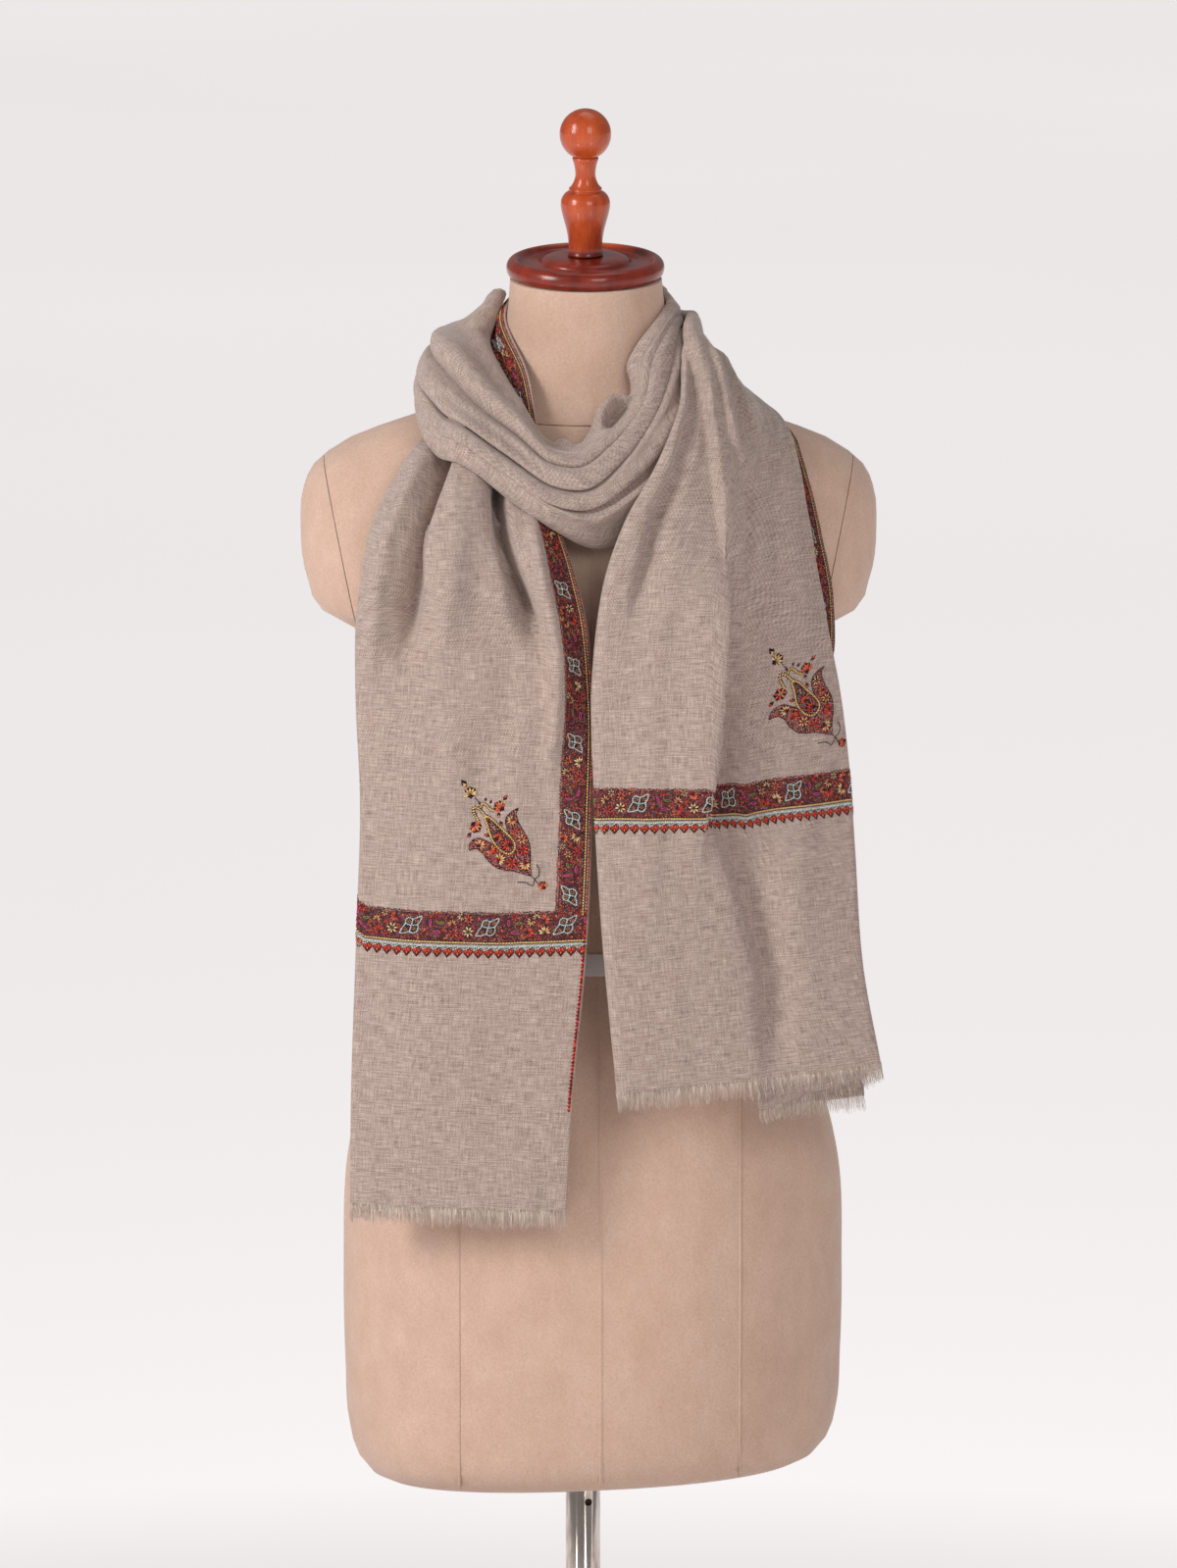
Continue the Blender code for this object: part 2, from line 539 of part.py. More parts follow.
def push_out(grid, outs, shares, layers):
    """How far each point moves out to lie over the layers below. Points above one another move together."""
    last_row, last_column = len(grid) - 1, grid.shape[1] - 1
    fine_rows = np.linspace(0, last_row, last_row * CHECKS + 1)
    fine_columns = np.linspace(0, last_column, last_column * CHECKS + 1)
    felt = np.zeros(grid.shape[:2])
    for at in fine_rows:
        i = min(int(at), last_row - 1)
        line = grid[i] + (grid[i + 1] - grid[i]) * (at - i)
        share = shares[i] + (shares[i + 1] - shares[i]) * (at - i)
        out = Vector(outs[i] + (outs[i + 1] - outs[i]) * (at - i)).normalized()
        need, place = [], []
        for column in fine_columns:
            j = min(int(column), last_column - 1)
            point = Vector(line[j] + (line[j + 1] - line[j]) * (column - j))
            push = 0.0
            for tree, lift in layers:
                clear = lift + WALL / 2
                spot = tree.ray_cast(point + out * REACH, -out, REACH + clear)[0]
                if spot:
                    push = max(push, (spot - point).dot(out) + clear)
            need.append(push)
            place.append(share[j] + (share[j + 1] - share[j]) * (column - j))
        distance = np.abs(share[:, None] - np.array(place)[None, :])
        weight = np.clip(FULL_PUSH - distance / SPREAD, 0, 1)
        pushed = (weight * np.array(need)[None, :]).max(axis=1)
        for near in {int(math.floor(at)), int(math.ceil(at))}:
            felt[near] = np.maximum(felt[near], pushed)
    before = np.vstack([felt[:1], felt[:-1]])
    after = np.vstack([felt[1:], felt[-1:]])
    return np.maximum(felt, (before + after) / 2)


def grid_normals(grid):
    """The direction out of the cloth at each point."""
    lengthwise = np.gradient(grid, axis=0)
    crosswise = np.gradient(grid, axis=1)
    normal = np.cross(lengthwise, crosswise)
    return normal / np.linalg.norm(normal, axis=2, keepdims=True)


def cloth_wall(grid):
    """A closed wall round a grid of middle points."""
    normal = grid_normals(grid)
    rows, columns = grid.shape[:2]
    bm = bmesh.new()
    outer = [[bm.verts.new(p) for p in line] for line in grid + normal * WALL / 2]
    inner = [[bm.verts.new(p) for p in line] for line in grid - normal * WALL / 2]
    for i in range(rows - 1):
        for j in range(columns - 1):
            bm.faces.new((outer[i][j], outer[i + 1][j], outer[i + 1][j + 1], outer[i][j + 1]))
            bm.faces.new((inner[i][j], inner[i][j + 1], inner[i + 1][j + 1], inner[i + 1][j]))
    rim = [(0, j) for j in range(columns - 1)]
    rim += [(i, columns - 1) for i in range(rows - 1)]
    rim += [(rows - 1, j) for j in range(columns - 1, 0, -1)]
    rim += [(i, 0) for i in range(rows - 1, 0, -1)]
    for (i, j), (k, m) in zip(rim, rim[1:] + rim[:1]):
        bm.faces.new((outer[i][j], outer[k][m], inner[k][m], inner[i][j]))
    bmesh.ops.triangulate(bm, faces=bm.faces)
    return bm


def strip_line(bm, places, reach, depth, edge, down, normal):
    """Points on the front and the back of the fringe's strip, at one depth below the hem."""

    def at(distance, table):
        return Vector([np.interp(distance, reach, table[:, axis]) for axis in range(3)])

    front, back = [], []
    for place in places:
        middle = at(place, edge) + at(place, down) * depth
        side = at(place, normal).normalized() * WALL / 2
        front.append(bm.verts.new(middle + side))
        back.append(bm.verts.new(middle - side))
    return front, back


def fringe(edge, down, normal, seed):
    """A narrow strip along a hem, parted from it, with tapering strands that grow from its lower face."""
    spread = random.Random(seed)
    steps = np.linalg.norm(np.diff(edge, axis=0), axis=1)
    reach = np.concatenate([[0], np.cumsum(steps)])
    count = int(reach[-1] / FRINGE_PITCH)
    pitch = reach[-1] / count
    half = pitch * FRINGE_SHARE / 2
    tops = [k * pitch for k in range(count + 1)]
    roots = [place for k in range(count) for place in ((k + 0.5) * pitch - half, (k + 0.5) * pitch + half)]
    feet = [0.0, *roots, reach[-1]]
    bm = bmesh.new()
    high_front, high_back = strip_line(bm, tops, reach, FRINGE_SEAM, edge, down, normal)
    foot = FRINGE_SEAM + FRINGE_STRIP
    low_front, low_back = strip_line(bm, feet, reach, foot, edge, down, normal)
    for k in range(count):
        stop = len(feet) if k == count - 1 else 2 * k + 3
        front = low_front[2 * k : stop]
        back = low_back[2 * k : stop]
        bm.faces.new(front + [high_front[k + 1], high_front[k]])
        bm.faces.new(back[::-1] + [high_back[k], high_back[k + 1]])
        bm.faces.new((high_front[k], high_front[k + 1], high_back[k + 1], high_back[k]))
    for k in range(len(feet) - 1):
        corners = (low_front[k], low_back[k], low_back[k + 1], low_front[k + 1])
        if k % 2 == 0:
            bm.faces.new(corners)
            continue
        middle = sum((corner.co for corner in corners), Vector()) / 4
        nearest = np.abs(reach - (feet[k] + feet[k + 1]) / 2).argmin()
        length = FRINGE_LENGTH * spread.uniform(FRINGE_SHORT, 1)
        lean = (corners[3].co - corners[0].co).normalized() * spread.uniform(-FRINGE_LEAN, FRINGE_LEAN)
        tip = bm.verts.new(middle + Vector(down[nearest]) * length + lean)
        for a, b in zip(corners, corners[1:] + corners[:1]):
            bm.faces.new((a, b, tip))
    for end in (0, -1):
        bm.faces.new((low_front[end], high_front[end], high_back[end], low_back[end]))
    bmesh.ops.recalc_face_normals(bm, faces=bm.faces)
    bmesh.ops.triangulate(bm, faces=bm.faces)
    return bm


def shawl(form):
    """Every stretch of the shawl, and the fringe below each hem."""
    cloth = material("taupe pashmina", (0.30, 0.235, 0.195), 0.9)
    below, whole, joined = [(form, FORM_LIFT)], [], []
    for stretch, stations, folds_a, folds_b in STRETCHES:
        grid = cloth_grid(stretch, stations, folds_a, folds_b, below + joined)
        new_object("shawl_" + stretch, cloth_wall(grid), cloth)
        below += whole
        whole = [(layer_tree(grid), CLOTH_LIFT)]
        joined = [(layer_tree(grid[:-SEAM_ROWS]), CLOTH_LIFT)]
        normal = grid_normals(grid)
        if stretch == "tail_left":
            down = grid[0] - grid[1]
            hem, across = grid[0], normal[0]
        elif stretch == "tail_right":
            down = grid[-1] - grid[-2]
            hem, across = grid[-1], normal[-1]
        else:
            continue
        down /= np.linalg.norm(down, axis=1, keepdims=True)
        strands = fringe(hem, down, across, FRINGE_SEEDS[stretch])
        new_object("fringe_" + stretch, strands, cloth, smooth=False)


def layer_tree(grid):
    """A stretch of cloth as a layer below the next ones."""
    wall = cloth_wall(grid)
    tree = tree_of(wall)
    wall.free()
    return tree


def tree_of(bm):
    made = bm.copy()
    bmesh.ops.triangulate(made, faces=made.faces)
    tree = BVHTree.FromBMesh(made)
    made.free()
    return tree


def main():
    clear_scene()
    linen = material("cream cover", (0.62, 0.45, 0.34), 0.85)
    tape = material("woven tape", (0.8, 0.78, 0.76), 0.8)
    whole = loft([form_ring(level) for level in form_levels()])
    form = tree_of(whole)
    whole.free()
    for name, bm in form_pieces().items():
        new_object(name, bm, linen)
    new_object("waist_tape", waist_tape(), tape)
    hardware()
    shawl(form)


main()
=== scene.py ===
import math
import random

import bpy
import numpy as np
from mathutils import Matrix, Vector, noise
from mathutils.bvhtree import BVHTree


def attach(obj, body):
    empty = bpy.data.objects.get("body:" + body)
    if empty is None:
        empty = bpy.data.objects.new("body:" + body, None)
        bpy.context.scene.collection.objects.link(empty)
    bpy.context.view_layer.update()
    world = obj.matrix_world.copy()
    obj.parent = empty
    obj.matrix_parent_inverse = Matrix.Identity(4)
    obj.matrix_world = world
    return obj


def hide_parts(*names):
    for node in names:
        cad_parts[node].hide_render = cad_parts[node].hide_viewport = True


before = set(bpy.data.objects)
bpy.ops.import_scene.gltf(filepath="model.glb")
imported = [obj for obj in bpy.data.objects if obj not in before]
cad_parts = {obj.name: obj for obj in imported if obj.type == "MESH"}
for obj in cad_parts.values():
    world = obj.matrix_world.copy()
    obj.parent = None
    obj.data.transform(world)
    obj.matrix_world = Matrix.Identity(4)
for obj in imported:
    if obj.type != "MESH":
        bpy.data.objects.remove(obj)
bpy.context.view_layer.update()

# Tables are in millimetres in the frame's own axes. A length across or along the cloth is on the cloth.
mm = 0.001


def deselectAll():
    if bpy.context.mode != "OBJECT":
        bpy.ops.object.mode_set(mode="OBJECT")
    bpy.ops.object.select_all(action="DESELECT")


def activate(obj):
    deselectAll()
    obj.select_set(True)
    bpy.context.view_layer.objects.active = obj


def editAll(obj):
    activate(obj)
    bpy.ops.object.mode_set(mode="EDIT")
    bpy.ops.mesh.select_all(action="SELECT")


def applyPlace():
    bpy.ops.object.transform_apply(location=True, rotation=True, scale=True)


def bevelled(obj, width, segments, sharpest, smoothest):
    # Rounds the edges that are sharper than one angle, and shades smooth up to the other
    activate(obj)
    rim = obj.modifiers.new("rim", "BEVEL")
    rim.width = width * mm
    rim.segments = segments
    rim.limit_method = "ANGLE"
    rim.angle_limit = math.radians(sharpest)
    bpy.ops.object.modifier_apply(modifier=rim.name)
    bpy.ops.object.shade_smooth_by_angle(angle=math.radians(smoothest))


def finishPiece(obj, finish, replaced=()):
    obj.data.materials.clear()
    obj.data.materials.append(finish)
    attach(obj, "root")
    if replaced:
        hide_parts(*replaced)
    return obj


def meshPiece(name, points, faces):
    mesh = bpy.data.meshes.new(name)
    mesh.from_pydata((np.asarray(points, float) * mm).tolist(), [], [list(map(int, f)) for f in faces])
    mesh.update()
    mesh.shade_smooth()
    obj = bpy.data.objects.new(name, mesh)
    bpy.context.scene.collection.objects.link(obj)
    return obj


def weaveUv(obj, places):
    # places holds one place in the weave for each point of the mesh
    layer = obj.data.uv_layers.new(name="weave")
    loops = np.zeros(len(obj.data.loops), int)
    obj.data.loops.foreach_get("vertex_index", loops)
    layer.data.foreach_set("uv", places[loops].ravel())


# Lines and grids of points

def unit(vectors):
    return vectors / np.linalg.norm(vectors, axis=-1, keepdims=True)


def runOf(points, axis=0):
    # How far along its line each point is
    steps = np.linalg.norm(np.diff(points, axis=axis), axis=-1)
    return np.insert(np.cumsum(steps, axis=axis), 0, 0.0, axis=axis)


def slopes(at, values):
    step = np.diff(at)[:, None]
    rate = np.diff(values, axis=0) / step
    inner = (rate[1:] * step[:-1] + rate[:-1] * step[1:]) / (step[1:] + step[:-1])
    return np.vstack([rate[:1], inner, rate[-1:]])


def smoothThrough(at, values, where):
    slope = slopes(at, values)
    i = np.clip(np.searchsorted(at, where, side="right") - 1, 0, len(at) - 2)
    step = (at[i + 1] - at[i])[:, None]
    x = ((where - at[i]) / step[:, 0])[:, None]
    start = (1 + 2 * x) * (1 - x) ** 2 * values[i] + x * (1 - x) ** 2 * step * slope[i]
    return start + x**2 * (3 - 2 * x) * values[i + 1] + x**2 * (x - 1) * step * slope[i + 1]


def softStep(value):
    value = np.clip(value, 0, 1)
    return value * value * (3 - 2 * value)


def gridFaces(rows, columns, roundRows=False, roundColumns=False):
    # The grid may close on itself either way
    i, j = np.meshgrid(np.arange(rows - 1 + roundRows), np.arange(columns - 1 + roundColumns), indexing="ij")
    a, b = (i + 1) % rows, (j + 1) % columns
    corners = [i * columns + j, a * columns + j, a * columns + b, i * columns + b]
    return np.stack(corners, axis=-1).reshape(-1, 4)


def gridNormals(grid):
    normal = np.cross(np.gradient(grid, axis=0), np.gradient(grid, axis=1))
    size = np.linalg.norm(normal, axis=2, keepdims=True)
    return normal / np.maximum(size, 1e-9)


# Materials

def colour(red, green, blue):
    return tuple(((c / 255 + 0.055) / 1.055) ** 2.4 for c in (red, green, blue)) + (1.0,)


def newMaterial(name, baseColour, roughness, **settings):
    made = bpy.data.materials.new(name)
    made.use_nodes = True
    made.diffuse_color = baseColour
    shader = made.node_tree.nodes["Principled BSDF"]
    shader.inputs["Base Color"].default_value = baseColour
    shader.inputs["Roughness"].default_value = roughness
    for key, value in settings.items():
        shader.inputs[key.replace("_", " ")].default_value = value
    return made, made.node_tree, shader


def node(tree, kind, inputs, **settings):
    made = tree.nodes.new(kind)
    for key, value in settings.items():
        setattr(made, key, value)
    for key, value in inputs.items():
        if isinstance(value, bpy.types.NodeSocket):
            tree.links.new(value, made.inputs[key])
        else:
            made.inputs[key].default_value = value
    return made


def objectPlace(tree):
    return node(tree, "ShaderNodeTexCoord", {}).outputs["Object"]


def weavePlace(tree):
    return node(tree, "ShaderNodeUVMap", {}, uv_map="weave").outputs["UV"]


def stretched(tree, place, scale, turn=0.0):
    inputs = {"Vector": place, "Scale": scale, "Rotation": (0, 0, turn)}
    return node(tree, "ShaderNodeMapping", inputs).outputs["Vector"]


def grain(tree, place, scale, detail=2.0, rough=0.5):
    inputs = {"Vector": place, "Scale": scale, "Detail": detail, "Roughness": rough}
    return node(tree, "ShaderNodeTexNoise", inputs).outputs["Fac"]


def fibres(tree, place, scale, detail, rough):
    return grain(tree, stretched(tree, place, scale), 1.0, detail, rough)


def bands(tree, place, way, scale, distortion, detail, finer=1.0):
    inputs = {"Vector": place, "Scale": scale, "Distortion": distortion}
    inputs.update({"Detail": detail, "Detail Scale": finer})
    return node(tree, "ShaderNodeTexWave", inputs, wave_type="BANDS", bands_direction=way).outputs["Fac"]


def sums(tree, operation, first, second):
    return node(tree, "ShaderNodeMath", {0: first, 1: second}, operation=operation).outputs["Value"]


def weighted(tree, *parts):
    # The sum of values, each by its share
    shares = [sums(tree, "MULTIPLY", value, share) for value, share in parts]
    total = shares[0]
    for share in shares[1:]:
        total = sums(tree, "ADD", total, share)
    return total


def between(tree, value, low, high, toLow=0.0, toHigh=1.0):
    inputs = {"Value": value, "From Min": low, "From Max": high, "To Min": toLow, "To Max": toHigh}
    return node(tree, "ShaderNodeMapRange", inputs, clamp=True).outputs["Result"]


def mixed(tree, share, first, second, blend="MIX"):
    inputs = {0: share, 6: first, 7: second}
    return node(tree, "ShaderNodeMix", inputs, data_type="RGBA", blend_type=blend).outputs[2]


def over(tree, base, mask, low, high, most, tone):
    # Lays a tone over the base where the mask is high, by the most share given
    return mixed(tree, between(tree, mask, low, high, 0.0, most), base, tone)


def bump(tree, shader, height, distance, strength=1.0):
    made = node(tree, "ShaderNodeBump", {"Height": height, "Distance": distance, "Strength": strength})
    tree.links.new(made.outputs["Normal"], shader.inputs["Normal"])


def tint(tree, shader, value):
    tree.links.new(value, shader.inputs["Base Color"])


# The dress form

form = {
    "base": 420, "sides": 160, "levelStep": 9, "hemSlope": 0.045, "slopeTop": 150,
    "seamGap": 0.22, "neckGap": 0.4, "rim": 0.9,
}
neckSeam = {"front": (0, -50, 1179), "rise": math.radians(20)}
neckTop = {"front": (0, -45, 1268.5), "lean": math.radians(8)}
armhole = {"x": 177, "z": 1099, "lean": math.radians(-12), "foot": 594}

formRows = (
    # height, halfWidth, front, back, centre, square
    (0, 150, 98, 110, 3, 2.3),
    (5, 160, 108, 121, 3, 2.3),
    (16, 169, 115, 129, 3, 2.3),
    (36, 175, 119, 134, 3, 2.3),
    (80, 178, 121, 136, 3, 2.3),
    (150, 179, 121, 136, 3, 2.3),
    (225, 176, 115, 124, 3, 2.25),
    (290, 160, 102, 103, 2, 2.2),
    (335, 141, 93, 88, 1, 2.2),
    (369, 128, 88, 82, 0, 2.2),
    (385, 127, 88, 82, 0, 2.2),
    (430, 130, 94, 84, 0, 2.2),
    (480, 140, 110, 88, 0, 2.25),
    (550, 151, 128, 94, 0, 2.3),
    (594, 157, 124, 98, 0, 2.3),
    (609, 168, 119, 99, 0, 2.3),
    (621, 190, 115, 99, 0, 2.35),
    (640, 199, 109, 99, 0, 2.4),
    (680, 204.5, 96, 98, 0, 2.4),
    (708, 202, 85, 94, 0, 2.35),
    (723, 195, 78, 89, 0, 2.3),
    (732, 185, 73, 84, 0, 2.2),
    (742, 169, 68, 78, 0, 2.1),
    (750, 149, 63, 73, 0, 2.0),
    (757, 128, 59, 69, 0, 2.0),
    (766, 101, 55, 66, 0, 2.0),
    (778, 77, 51, 66, -1, 2.0),
    (796, 63, 49, 66, -1, 2.0),
    (828, 56.4, 47, 64, -1.4, 2.0),
    (875, 52.3, 45, 62, -2.2, 2.0),
)
formTable = np.array(formRows, float)


def formPoint(height, turn, out=0.0):
    row = smoothThrough(formTable[:, 0], formTable, np.array([height]))[0]
    height, halfWidth, front, back, centre, square = row
    c, s = math.cos(turn), math.sin(turn)
    x = (halfWidth + out) * math.copysign(abs(c) ** (2 / square), c)
    y = ((front if s < 0 else back) + out) * math.copysign(abs(s) ** (2 / square), s)
    return centre + x, y, form["base"] + height + form["hemSlope"] * max(0, 1 - height / form["slopeTop"]) * x


def formRings(sides):
    heights = [0.0]
    for low, high in zip(formTable[:-1, 0], formTable[1:, 0]):
        count = max(1, round((high - low) / form["levelStep"]))
        heights += [low + (high - low) * (k + 1) / count for k in range(count)]
    turns = [2 * math.pi * k / sides for k in range(sides)]
    return np.array([[formPoint(height, turn) for turn in turns] for height in heights])


def formShell(name):
    # Circles that are shaped to each level and bridged
    rings = formRings(form["sides"])
    deselectAll()
    bpy.ops.mesh.primitive_circle_add(vertices=form["sides"], radius=1)
    obj = bpy.context.active_object
    obj.name = name
    bpy.ops.object.mode_set(mode="EDIT")
    for k in range(1, len(rings)):
        bpy.ops.mesh.primitive_circle_add(vertices=form["sides"], radius=1, location=(0, 0, k))
    bpy.ops.object.mode_set(mode="OBJECT")
    obj.data.vertices.foreach_set("co", (rings * mm).ravel())
    editAll(obj)
    bpy.ops.mesh.bridge_edge_loops()
    bpy.ops.mesh.select_all(action="DESELECT")
    bpy.ops.mesh.select_non_manifold()
    bpy.ops.mesh.edge_face_add()
    bpy.ops.mesh.select_all(action="SELECT")
    bpy.ops.mesh.normals_make_consistent(inside=False)
    bpy.ops.object.mode_set(mode="OBJECT")
    return obj


def cutAway(obj, point, normal, above=None):
    # Keeps the side that the normal points away from, and cuts only the faces above a height if one is given
    place = tuple(c * mm for c in point)
    editAll(obj)
    if above is not None:
        bpy.ops.mesh.select_mode(type="FACE")
        bpy.ops.mesh.select_all(action="DESELECT")
        bpy.ops.object.mode_set(mode="OBJECT")
        obj.data.polygons.foreach_set("select", [face.center.z > above * mm for face in obj.data.polygons])
        bpy.ops.object.mode_set(mode="EDIT")
    bpy.ops.mesh.bisect(plane_co=place, plane_no=normal, use_fill=True, clear_outer=True)
    bpy.ops.mesh.select_mode(type="VERT")
    bpy.ops.object.mode_set(mode="OBJECT")


def copyOf(obj, name):
    made = obj.copy()
    made.data = obj.data.copy()
    made.name = name
    bpy.context.scene.collection.objects.link(made)
    return made


def suedeCover():
    made, tree, shader = newMaterial(
        "suede cover", colour(214, 181, 160), 0.85,
        Sheen_Weight=0.25, Sheen_Roughness=0.5, Specular_IOR_Level=0.2)
    place = objectPlace(tree)
    nap = grain(tree, place, 560, 3, 0.65)
    cloud = grain(tree, place, 28, 4, 0.6)
    brushed = grain(tree, stretched(tree, place, (40, 40, 22)), 2, 3, 0.6)
    spot = grain(tree, stretched(tree, place, (1, 1, 1.4)), 9, 2, 0.4)
    tone = weighted(tree, (cloud, 0.5), (brushed, 0.5))
    base = mixed(tree, between(tree, tone, 0.35, 0.65), colour(204, 171, 151), colour(215, 184, 165))
    base = over(tree, base, nap, 0.35, 0.7, 0.34, colour(166, 130, 108))
    base = over(tree, base, spot, 0.66, 0.78, 0.25, colour(186, 148, 122))
    tint(tree, shader, base)
    bump(tree, shader, nap, 0.0004, 0.5)
    return made


def leaning(angle):
    return Vector((0, -math.sin(angle), math.cos(angle)))


def dressForm():
    cover = suedeCover()
    neckUp, seamAt = leaning(neckSeam["rise"]), Vector(neckSeam["front"])
    whole = formShell("form_body_cover")
    neck = copyOf(whole, "form_neck_cover")
    cutAway(neck, seamAt + neckUp * form["neckGap"], -neckUp)
    cutAway(neck, Vector(neckTop["front"]), leaning(neckTop["lean"]))
    cutAway(whole, seamAt - neckUp * form["neckGap"], neckUp)
    pieces = [(neck, "form_neck")]
    foot = form["base"] + armhole["foot"]
    for side, name in ((-1, "left"), (1, "right")):
        outward = Vector((side * math.cos(armhole["lean"]), 0, math.sin(armhole["lean"])))
        at = Vector((side * armhole["x"], 0, armhole["z"]))
        cap = copyOf(whole, f"form_arm_cap_{name}_cover")
        cutAway(cap, Vector((0, 0, foot)), Vector((0, 0, -1)))
        cutAway(cap, at + outward * form["seamGap"], -outward)
        cutAway(whole, at - outward * form["seamGap"], outward, foot)
        pieces.append((cap, f"form_arm_cap_{name}"))
    for obj, cadNode in pieces + [(whole, "form_body")]:
        bevelled(obj, form["rim"], 3, 40, 50)
        finishPiece(obj, cover, [cadNode])
    return cover


formSeams = (
    # name, side, then (height, x) down the seam
    ("centre", -1, ((752, 1), (700, 2), (600, 3), (450, 5), (300, 8), (150, 9), (4, 9))),
    ("left", -1, ((745, -84), (640, -88), (430, -92), (290, -92), (150, -92), (4, -92))),
    ("right", -1, ((745, 84), (640, 96), (430, 106), (290, 108), (150, 108), (4, 108))),
    ("back", 1, ((760, 0), (600, 0), (400, 0), (200, 0), (4, 0))),
    ("back left", 1, ((745, -84), (600, -90), (400, -96), (200, -98), (4, -98))),
    ("back right", 1, ((745, 84), (600, 90), (400, 96), (200, 98), (4, 98))),
)
seamRoll = ((-1.5, -0.3), (-0.75, 0.42), (0.0, -0.1), (0.75, 0.42), (1.5, -0.3), (0.0, -0.7))  # two low rolls
seamStep = 6


def seamTurn(height, x, side):
    # Where round the form a seam stands at this height
    low, high = (-math.pi, 0.0) if side < 0 else (math.pi, 0.0)
    for _ in range(30):
        turn = (low + high) / 2
        low, high = (turn, high) if formPoint(height, turn)[0] < x else (low, turn)
    return turn


def seamLines(cover):
    for name, facing, rows in formSeams:
        rows = np.array(rows, float)
        at = rows[0, 0] - rows[:, 0]
        where = np.linspace(0, at[-1], int(at[-1] / seamStep) + 1)
        turns = [seamTurn(rows[0, 0] - w, x, facing) for w, x in zip(where, np.interp(where, at, rows[:, 1]))]
        line = np.array([formPoint(rows[0, 0] - w, t) for w, t in zip(where, turns)])
        out = unit(np.array([formPoint(rows[0, 0] - w, t, 1.0) for w, t in zip(where, turns)]) - line)
        side = unit(np.cross(np.gradient(line, axis=0), out))
        points = [line[k] + side[k] * u + out[k] * n for k in range(len(line)) for u, n in seamRoll]
        columns = len(seamRoll)
        faces = gridFaces(len(line), columns, roundColumns=True)[:, [0, 3, 2, 1]].tolist()
        faces.append(list(range(columns))[::-1])
        faces.append([(len(line) - 1) * columns + j for j in range(columns)])
        finishPiece(meshPiece("seam_" + name.replace(" ", "_"), points, faces), cover)


tape = {
    "sides": 240, "uvRadius": 0.11,
    # height and distance out from the form, over the band
    "section": ((369, 0.15), (369, 0.8), (370, 1.05), (377, 1.1), (384, 1.05), (385, 0.8), (385, 0.15)),
}


def wovenTape():
    made, tree, shader = newMaterial("woven tape", colour(222, 218, 216), 0.8, Sheen_Weight=0.2)
    place = weavePlace(tree)
    ribs, rows = bands(tree, place, "X", 300.0, 0.4, 1.0), bands(tree, place, "Y", 220.0, 0.4, 2.0)
    weave = sums(tree, "MULTIPLY", ribs, rows)
    light, dark = colour(244, 242, 240), colour(208, 203, 200)
    tint(tree, shader, mixed(tree, between(tree, weave, 0.0, 0.8), dark, light))
    bump(tree, shader, weave, 0.0003, 0.6)
    return made


def waistTape():
    turns = [2 * math.pi * k / tape["sides"] for k in range(tape["sides"])]
    points = [formPoint(height, turn, out) for turn in turns for height, out in tape["section"]]
    places = [(turn * tape["uvRadius"], height * mm) for turn in turns for height, _ in tape["section"]]
    obj = meshPiece("waist_tape_woven", points, gridFaces(tape["sides"], len(tape["section"]), True, True))
    weaveUv(obj, np.array(places))
    finishPiece(obj, wovenTape(), ["waist_tape"])


# Turned wood and the stand

capRim = (
    # radius, height along the axis of the neck
    (0, 0), (50, 0), (53.4, 0.3), (54.9, 1.4), (55.8, 3.6), (56.2, 6.2), (55.7, 8.8), (54.2, 11.2),
    (52.2, 12.6), (50.2, 13.1), (48.8, 12.8), (47.4, 11.6), (46.2, 10.0), (44.4, 9.0), (41.0, 8.7),
    (36.0, 8.8), (33.0, 9.2), (31.8, 10.0), (31.2, 11.4), (29.8, 12.7), (27.6, 13.5), (24.0, 14.3),
    (20, 14.6), (0, 14.6),
)
finialStem = (
    (0, 0), (12.2, 0), (12.8, 1.0), (12.2, 2.4), (11.8, 5.6), (12.2, 11.4), (13.4, 18.5), (15.2, 25),
    (16.8, 31),
    (17.6, 35.4), (17.5, 38.8), (16.4, 42), (14.4, 44.6), (12.4, 45.8), (11.1, 46.2), (11.0, 46.8),
    (11.7, 47.4),
    (11.7, 48.3), (10.8, 49.0), (9.6, 50.4), (8.4, 52.6), (7.5, 55.2), (7.1, 58), (7.3, 61.4), (7.9, 64.8),
    (8.7, 67.6), (9.4, 69.4), (9.2, 70.4), (8.5, 71.2),
)
ballShape = {"radius": 18.3, "height": 87, "steps": 22}
basePlate = (
    (0, 0), (169.4, 0), (170, 0.6), (170, 3.9), (169.6, 5.2), (168, 6), (120, 7.6), (60, 9.6), (37, 10.9),
    (33, 11.6), (31, 13), (30.2, 15), (29, 22), (27.6, 31), (27.0, 32.6), (25, 33.9), (23, 34.2), (0, 34.2),
)
collar = ((0, 0), (12.6, 0), (13.2, 0.3), (13.3, 0.9), (13.3, 4.4), (13.0, 4.9), (12.6, 5.0), (0, 5.0))
pole = {
    "x": -4, "radius": 12.5, "foot": 34.3, "head": 413.6, "collarFoot": 413.9,
    "holeX": 0, "holeHeight": 392, "holeRadius": 2.6, "holeDepth": 9, "plugInset": 4.4,
}


def cornersCut(points):
    # The same line with each corner cut, so that it turns smoothly
    made = [points[0]]
    for a, b in zip(points[:-1], points[1:]):
        made += [tuple(p * (1 - t) + q * t for p, q in zip(a, b)) for t in (0.25, 0.75)]
    return made + [points[-1]]


